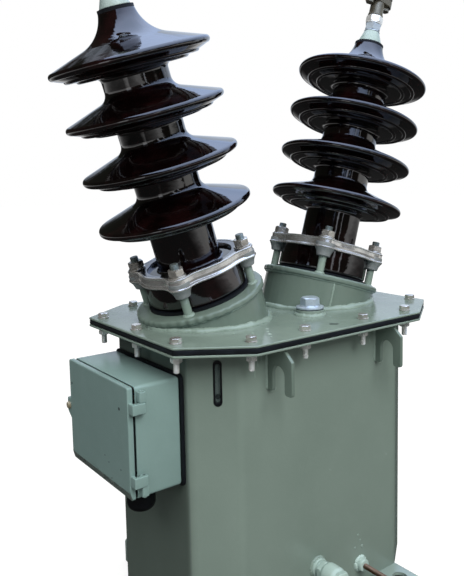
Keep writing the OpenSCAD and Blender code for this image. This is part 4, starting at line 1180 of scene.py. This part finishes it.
def makeDrain():
    # collar and pipe, a hexagon, a turned body, a second hexagon and the weld at the root
    d, at, form = drain, onFront(drain), Form()
    body = d["length"] + d["nut"]
    pipe = rounded([(0, 0), (d["root"], 0), (d["root"], d["collar"]), (d["pipe"], d["collar"]),
                    (d["pipe"], d["length"] + 0.001), (0, d["length"] + 0.001)],
                   [0, 0, 0.0012, 0.0008, 0, 0], 4, closed=False)
    form.add(revolve(pipe, 60), at)
    hexagon = hexRows(d["across"], d["nut"], both=True)
    form.add(hexagon, at @ Matrix.Translation((0, 0, d["length"])))
    barrel = rounded([(0, body - 0.0005), (d["body"] - 0.0025, body - 0.0005),
                      (d["body"], body + 0.004), (d["body"], body + d["bodyLength"] - 0.004),
                      (d["body"] - 0.0025, body + d["bodyLength"] + 0.0005),
                      (0, body + d["bodyLength"] + 0.0005)],
                     [0, 0.001, 0.003, 0.003, 0.001, 0], 4, closed=False)
    form.add(revolve(barrel, 60), at)
    turned = Matrix.Rotation(0.35, 4, "Z")
    form.add(hexagon, at @ Matrix.Translation((0, 0, body + d["bodyLength"])) @ turned)
    form.make("drainFitting", palePaint, "tank_paint", ["drain_valve"], sharp=32)
    weld = Form().add(rootBead(d["root"], 0.0026, 81), at, loopRows=True)
    weld.make("drainWeld", litWeldPaint, "tank_paint", sharp=60)


def makeEarth():
    # welded boss with a rounded face and a long threaded stud
    e, at = earth, onFront(earth)
    boss = rounded([(0, 0), (e["radius"], 0), (e["radius"], e["boss"]), (0, e["boss"])],
                   [0, 0, 0.0016, 0], 4, closed=False)
    form = Form().add(revolve(boss, 48), at)
    form.add(rootBead(e["radius"], 0.0034, 83), at, loopRows=True)
    form.make("earthPad", palePaint, "tank_paint", ["earth_boss"], sharp=50)
    thread = threadRows(e["stud"], e["boss"] - 0.0005, e["boss"] + e["length"], e["pitch"], 28)
    Form().add(thread, at).make(
        "earthThread", brownBronze, "tarnished_bronze", ["earth_stud"], sharp=30)


makeDrain()
makeEarth()
print("drain and earth terminal made")


marks = {
    # across, up and radius of each pit in the door
    "pits": [(0.0820, 0.3581, 0.0013), (-0.0607, 0.3597, 0.0016), (-0.0155, 0.2872, 0.0007),
             (-0.0265, 0.2816, 0.0007), (-0.0598, 0.2825, 0.0008), (-0.0335, 0.2631, 0.0008),
             (0.0077, 0.2620, 0.0006)],
    # along, across, radius and height of each spatter on the lid
    "lidSpatter": [(-0.084, -0.112, 0.0022, 0.0006), (-0.092, -0.124, 0.0018, 0.0005),
                   (-0.099, -0.137, 0.0026, 0.0007), (-0.106, -0.148, 0.0016, 0.0005),
                   (-0.112, -0.118, 0.0020, 0.0005), (-0.132, -0.104, 0.0018, 0.0005),
                   (0.006, -0.104, 0.0024, 0.0007), (-0.016, -0.108, 0.0020, 0.0006),
                   (-0.004, -0.112, 0.0016, 0.0005), (0.030, -0.112, 0.0018, 0.0005),
                   (0.152, -0.020, 0.0018, 0.0005), (0.120, 0.134, 0.0020, 0.0006)],
    # along, up, radius and height of each spatter on the front wall
    "wallSpatter": [(0.0629, 0.0736, 0.0022, 0.0007), (0.0712, 0.0536, 0.0030, 0.0009),
                    (0.0670, 0.0645, 0.0018, 0.0006), (0.0566, 0.0559, 0.0020, 0.0006),
                    (-0.0944, 0.3262, 0.0040, 0.0018), (-0.0900, 0.3258, 0.0030, 0.0014),
                    (0.1094, 0.3256, 0.0040, 0.0018), (0.1134, 0.3252, 0.0028, 0.0012)],
    # along, upper and lower end and width of each paint run on the front wall
    "runs": [(-0.1165, 0.424, 0.398, 0.0012), (-0.1215, 0.424, 0.384, 0.0010),
             (-0.1110, 0.424, 0.404, 0.0010), (-0.0800, 0.424, 0.410, 0.0009),
             (0.0850, 0.424, 0.402, 0.0010), (0.0880, 0.424, 0.394, 0.0011)],
    # the slit in the lid: along, across, width and length, and its turn; the pit in the lid:
    # along, across and radius
    "slit": (0.0005, -0.1500, 0.0044, 0.0125), "slitTurn": -131.5,
    "hole": (-0.1686, -0.0532, 0.0012),
}


def pitRows(radius):
    # a rim round a flat eye, both just proud of the skin
    return revolve([(radius * 1.3, 0), (radius, 0.00022), (radius * 0.7, 0.0002),
                    (radius * 0.6, 0.00006), (0, 0.00004)], 20)


def dropRows(radius, height, seed):
    # (radius * cos t, height * sin t) turned round, its reach wandering by a tenth
    t = np.linspace(0, math.pi / 2, 7)
    rows = revolve(np.column_stack([radius * np.cos(t), height * np.sin(t)]), 24)
    rows[..., :2] *= (1 + 0.12 * wander(ring(24) / (2 * math.pi), seed, 4, 2))[None, :, None]
    return rows


def makeMarks():
    # pits in the door and lid, spatter on the lid and wall, and paint runs down the wall; the pits
    # and the lid's slit are black, painted shade for their depth
    pits = Form()
    towards = Matrix.Rotation(-math.pi / 2, 4, "Y")
    for y, z, radius in marks["pits"]:
        pits.add(pitRows(radius), Matrix.Translation((doorFront, y, z)) @ towards)
    pits.make("doorPits", blackRubber, "black_rubber", body="door")
    holeShade, drops = Form(), Form()
    x, y, radius = marks["hole"]
    holeShade.add(pitRows(radius), Matrix.Translation((x, y, lidTop)))
    x, y, width, length = marks["slit"]
    slitAt = Matrix.Translation((x, y, lidTop))
    slitAt = slitAt @ Matrix.Rotation(math.radians(marks["slitTurn"]), 4, "Z")
    holeShade.add(slab(slotOutline(width, length), -0.0002, 0.0003, 0.0001), slitAt)
    holeShade.make("lidHoleShades", blackRubber, "black_rubber")
    for k, (x, y, radius, height) in enumerate(marks["lidSpatter"]):
        drops.add(dropRows(radius, height, k), Matrix.Translation((x, y, lidTop - 0.00005)))
    for k, (x, z, radius, height) in enumerate(marks["wallSpatter"]):
        drops.add(dropRows(radius, height, 20 + k), onFront({"x": x, "z": z}))
    for k, (x, high, low, width) in enumerate(marks["runs"]):
        level = np.linspace(high, low, 30)
        path = np.column_stack([np.full(30, x), np.full(30, -tank["width"] / 2), level])
        drops.add(bead(path, np.tile([0, -1.0, 0], (30, 1)), width, 120 + k, 0.02, False, 0.35))
    drops.make("spatter", litWeldPaint, "tank_paint", sharp=60)


makeMarks()
print("pits, spatter and runs made")


view = {
    "place": (-0.6280, -0.8005, 0.6404), "yaw": 0.6615, "pitch": 0.1025, "roll": -0.01586,
    "lens": 42.692, "shiftX": -0.05004, "shiftY": -0.07708,
}


def makeCamera():
    # the view's own axes from yaw and pitch, then turned by the roll
    yaw, pitch, roll = view["yaw"], view["pitch"], view["roll"]
    ahead = Vector((math.sin(yaw) * math.cos(pitch), math.cos(yaw) * math.cos(pitch),
                    -math.sin(pitch)))
    level = Vector((math.cos(yaw), -math.sin(yaw), 0))
    upright = level.cross(ahead)
    right = math.cos(roll) * level + math.sin(roll) * upright
    up = math.cos(roll) * upright - math.sin(roll) * level
    camera = bpy.data.objects.new("camera", bpy.data.cameras.new("camera"))
    bpy.context.scene.collection.objects.link(camera)
    turned = Matrix((right, up, -ahead)).transposed().to_4x4()
    camera.matrix_world = Matrix.Translation(view["place"]) @ turned
    camera.data.lens, camera.data.sensor_width = view["lens"], 36
    camera.data.shift_x, camera.data.shift_y = view["shiftX"], view["shiftY"]
    camera.data.clip_start, camera.data.clip_end = 0.02, 60
    bpy.context.scene.camera = camera


lamps = {
    "key": {"place": (-0.3, -2.0, 2.05), "size": (1.5, 1.5), "power": 74,
            "tint": (1.0, 0.985, 0.96)},
    "leftSky": {"place": (-1.7, -0.3, 2.1), "size": (1.6, 1.8), "power": 30,
                "tint": (1.0, 0.97, 0.96)},
    "overhead": {"place": (0.6, 0.3, 2.6), "size": (2.4, 2.4), "power": 44,
                 "tint": (0.92, 0.96, 1.0)},
}


def makeLamps():
    # area lamps that face the middle of the transformer and stay out of mirrors
    middle = Vector((0, 0, 0.45))
    for name, lamp in lamps.items():
        light = bpy.data.lights.new(name, "AREA")
        light.shape, light.energy, light.color = "RECTANGLE", lamp["power"], lamp["tint"]
        light.size, light.size_y = lamp["size"]
        made = bpy.data.objects.new(name, light)
        bpy.context.scene.collection.objects.link(made)
        made.location = lamp["place"]
        made.visible_glossy = False
        made.rotation_mode = "QUATERNION"
        made.rotation_quaternion = (Vector(lamp["place"]) - middle).to_track_quat("Z", "Y")


studio = {
    "ambient": 0.10, "backdrop": (0.74, 0.84, 1.0, 1), "sky": (1.7, 2.1, 3.0, 1),
    "lowSky": (0.8, 1.02, 1.5, 1), "leaves": (0.02, 0.022, 0.018, 1),
    "front": (0.04, 0.036, 0.032, 1), "gap": (1.1, 1.15, 1.25, 1), "wall": (0.8, 0.8, 0.78, 1),
    "floorTone": srgb(150, 150, 148), "floorPale": srgb(156, 156, 154),
    "floorShadeInMirrors": srgb(32, 32, 32), "floorGlow": 0.80, "floorMirror": 0.02,
}


def seenDirectly(finish):
    # 1 for rays from the camera, a mirror or through glass
    path = [finish.node("LightPath", output=kind) for kind in
            ("Is Camera Ray", "Is Glossy Ray", "Is Transmission Ray")]
    return path, finish.maths("ADD", path[0] + path[1], path[2], clamp=True)


def makeStudio():
    # camera rays see white; light comes from a dim even world; mirrors and glass see a painted
    # one. It has sky above, a pale backdrop behind on the right, dim leaves elsewhere with two
    # bright gaps, a low bright sector at the front left and a wall far to the right
    world = bpy.data.worlds.new("studio")
    bpy.context.scene.world = world
    world.use_nodes = True
    f = Finish("studio", world.node_tree)
    (camera, _, _), direct = seenDirectly(f)
    spot = f.node("TexCoord", output="Generated")
    x = f.node("SeparateXYZ", None, {0: spot}, output=0)
    y = f.node("SeparateXYZ", None, {0: spot}, output=1)
    z = f.node("SeparateXYZ", None, {0: spot}, output=2)
    ahead = x * 0.61 + y * 0.79
    across = x * 0.79 - y * 0.61
    leaf = f.node("TexNoise", None, {"Vector": spot, "Scale": 9.0, "Detail": 4.0, "Roughness": 0.6})
    ragged = (leaf - 0.5) * 0.5
    left = (0.05 - across).within(0, 1)
    sky = (z + ragged - left).within(0.3, 0.38)
    behind = ahead.within(0.3, 0.45) * (across + ragged).within(-0.4, -0.2)
    low = f.blend(z.within(-0.1, 0.3), studio["front"], studio["leaves"])
    edge = across + (leaf - 0.5) * 0.08
    gaps = edge.within(0.3, 0.31) * (1 - edge.within(0.38, 0.39))
    gaps = gaps + edge.within(0.6, 0.61) * (1 - edge.within(0.64, 0.65))
    low = f.blend(gaps * (1 - ahead.within(-0.1, 0)), low, studio["gap"])
    aside = 0 - across
    glare = aside.within(0.3, 0.34) * (1 - aside.within(0.52, 0.56))
    glare = glare * (1 - ahead.within(-0.5, -0.3))
    low = f.blend(glare * (1 - z.within(0.05, 0.15)), low, studio["gap"])
    wall = across.within(0.93, 0.96) * (1 - z.within(0.1, 0.2))
    low = f.blend(wall, low, studio["wall"])
    room = f.blend(behind, low, studio["backdrop"])
    room = f.blend(sky, room, f.blend(z.within(0.5, 0.85), studio["lowSky"], studio["sky"]))
    shown = f.blend(camera, room, (1, 1, 1, 1))
    ambient = f.node("Background", None,
                     {"Color": (0.94, 0.97, 1, 1), "Strength": studio["ambient"]})
    backdrop = f.node("Background", None, {"Color": shown, "Strength": 1.0})
    mixed = f.node("MixShader", None, {0: direct, 1: ambient, 2: backdrop})
    f.node("OutputWorld", None, {"Surface": mixed})


def makeFloor():
    # white to the camera apart from the object's shadow; in mirrors its tone is darker, a painted
    # shade, so it is dark close by, pale far off, and bright in the same low sector as the world
    f = Finish("paleFloor")
    (camera, _, _), direct = seenDirectly(f)
    tone = f.blend(f.noise(3, 3, 0.5).within(0.3, 0.7), studio["floorTone"], studio["floorPale"])
    matt = f.node("BsdfDiffuse", None, {"Color": tone})
    reach = f.node("VectorMath", {"operation": "LENGTH"}, {0: f.where()}, output=1)
    glow = reach.within(0.5, 3.2) * (1 - studio["floorGlow"]) + studio["floorGlow"]
    x, y, _ = f.axes()
    aside = (y * 0.61 - x * 0.79) / reach
    glare = aside.within(0.3, 0.34) * (1 - aside.within(0.52, 0.56)) * (0 - y).within(0.8, 1.4)
    mirrored = reach.within(2.0, 6.0) * 0.7 + glare * 0.6 + studio["floorMirror"]
    glow = camera * glow + (1 - camera) * mirrored
    # to mirrors the floor takes the darker tone: painted shade
    lit = f.blend(camera, studio["floorShadeInMirrors"], studio["floorTone"])
    shown = f.node("AddShader", None, {0: f.node("BsdfDiffuse", None, {"Color": lit}),
                                       1: f.node("Emission", None, {"Color": glow})})
    mixed = f.node("MixShader", None, {0: direct, 1: matt, 2: shown})
    f.node("OutputMaterial", None, {"Surface": mixed})
    side = np.linspace(-14, 14, 9)
    grid = np.stack(np.meshgrid(side, side) + [np.zeros((9, 9))], -1)
    mesh = bpy.data.meshes.new("floor")
    form = Form().add(grid, loopColumns=False, ends=(False, False))
    mesh.from_pydata(np.concatenate(form.points).tolist(), [], form.faces)
    floor = bpy.data.objects.new("floor", mesh)
    bpy.context.scene.collection.objects.link(floor)
    mesh.materials.append(f.material)


makeCamera()
makeLamps()
makeStudio()
makeFloor()
bpy.context.scene.view_settings.view_transform = "Standard"
print("camera, lamps and floor ready")
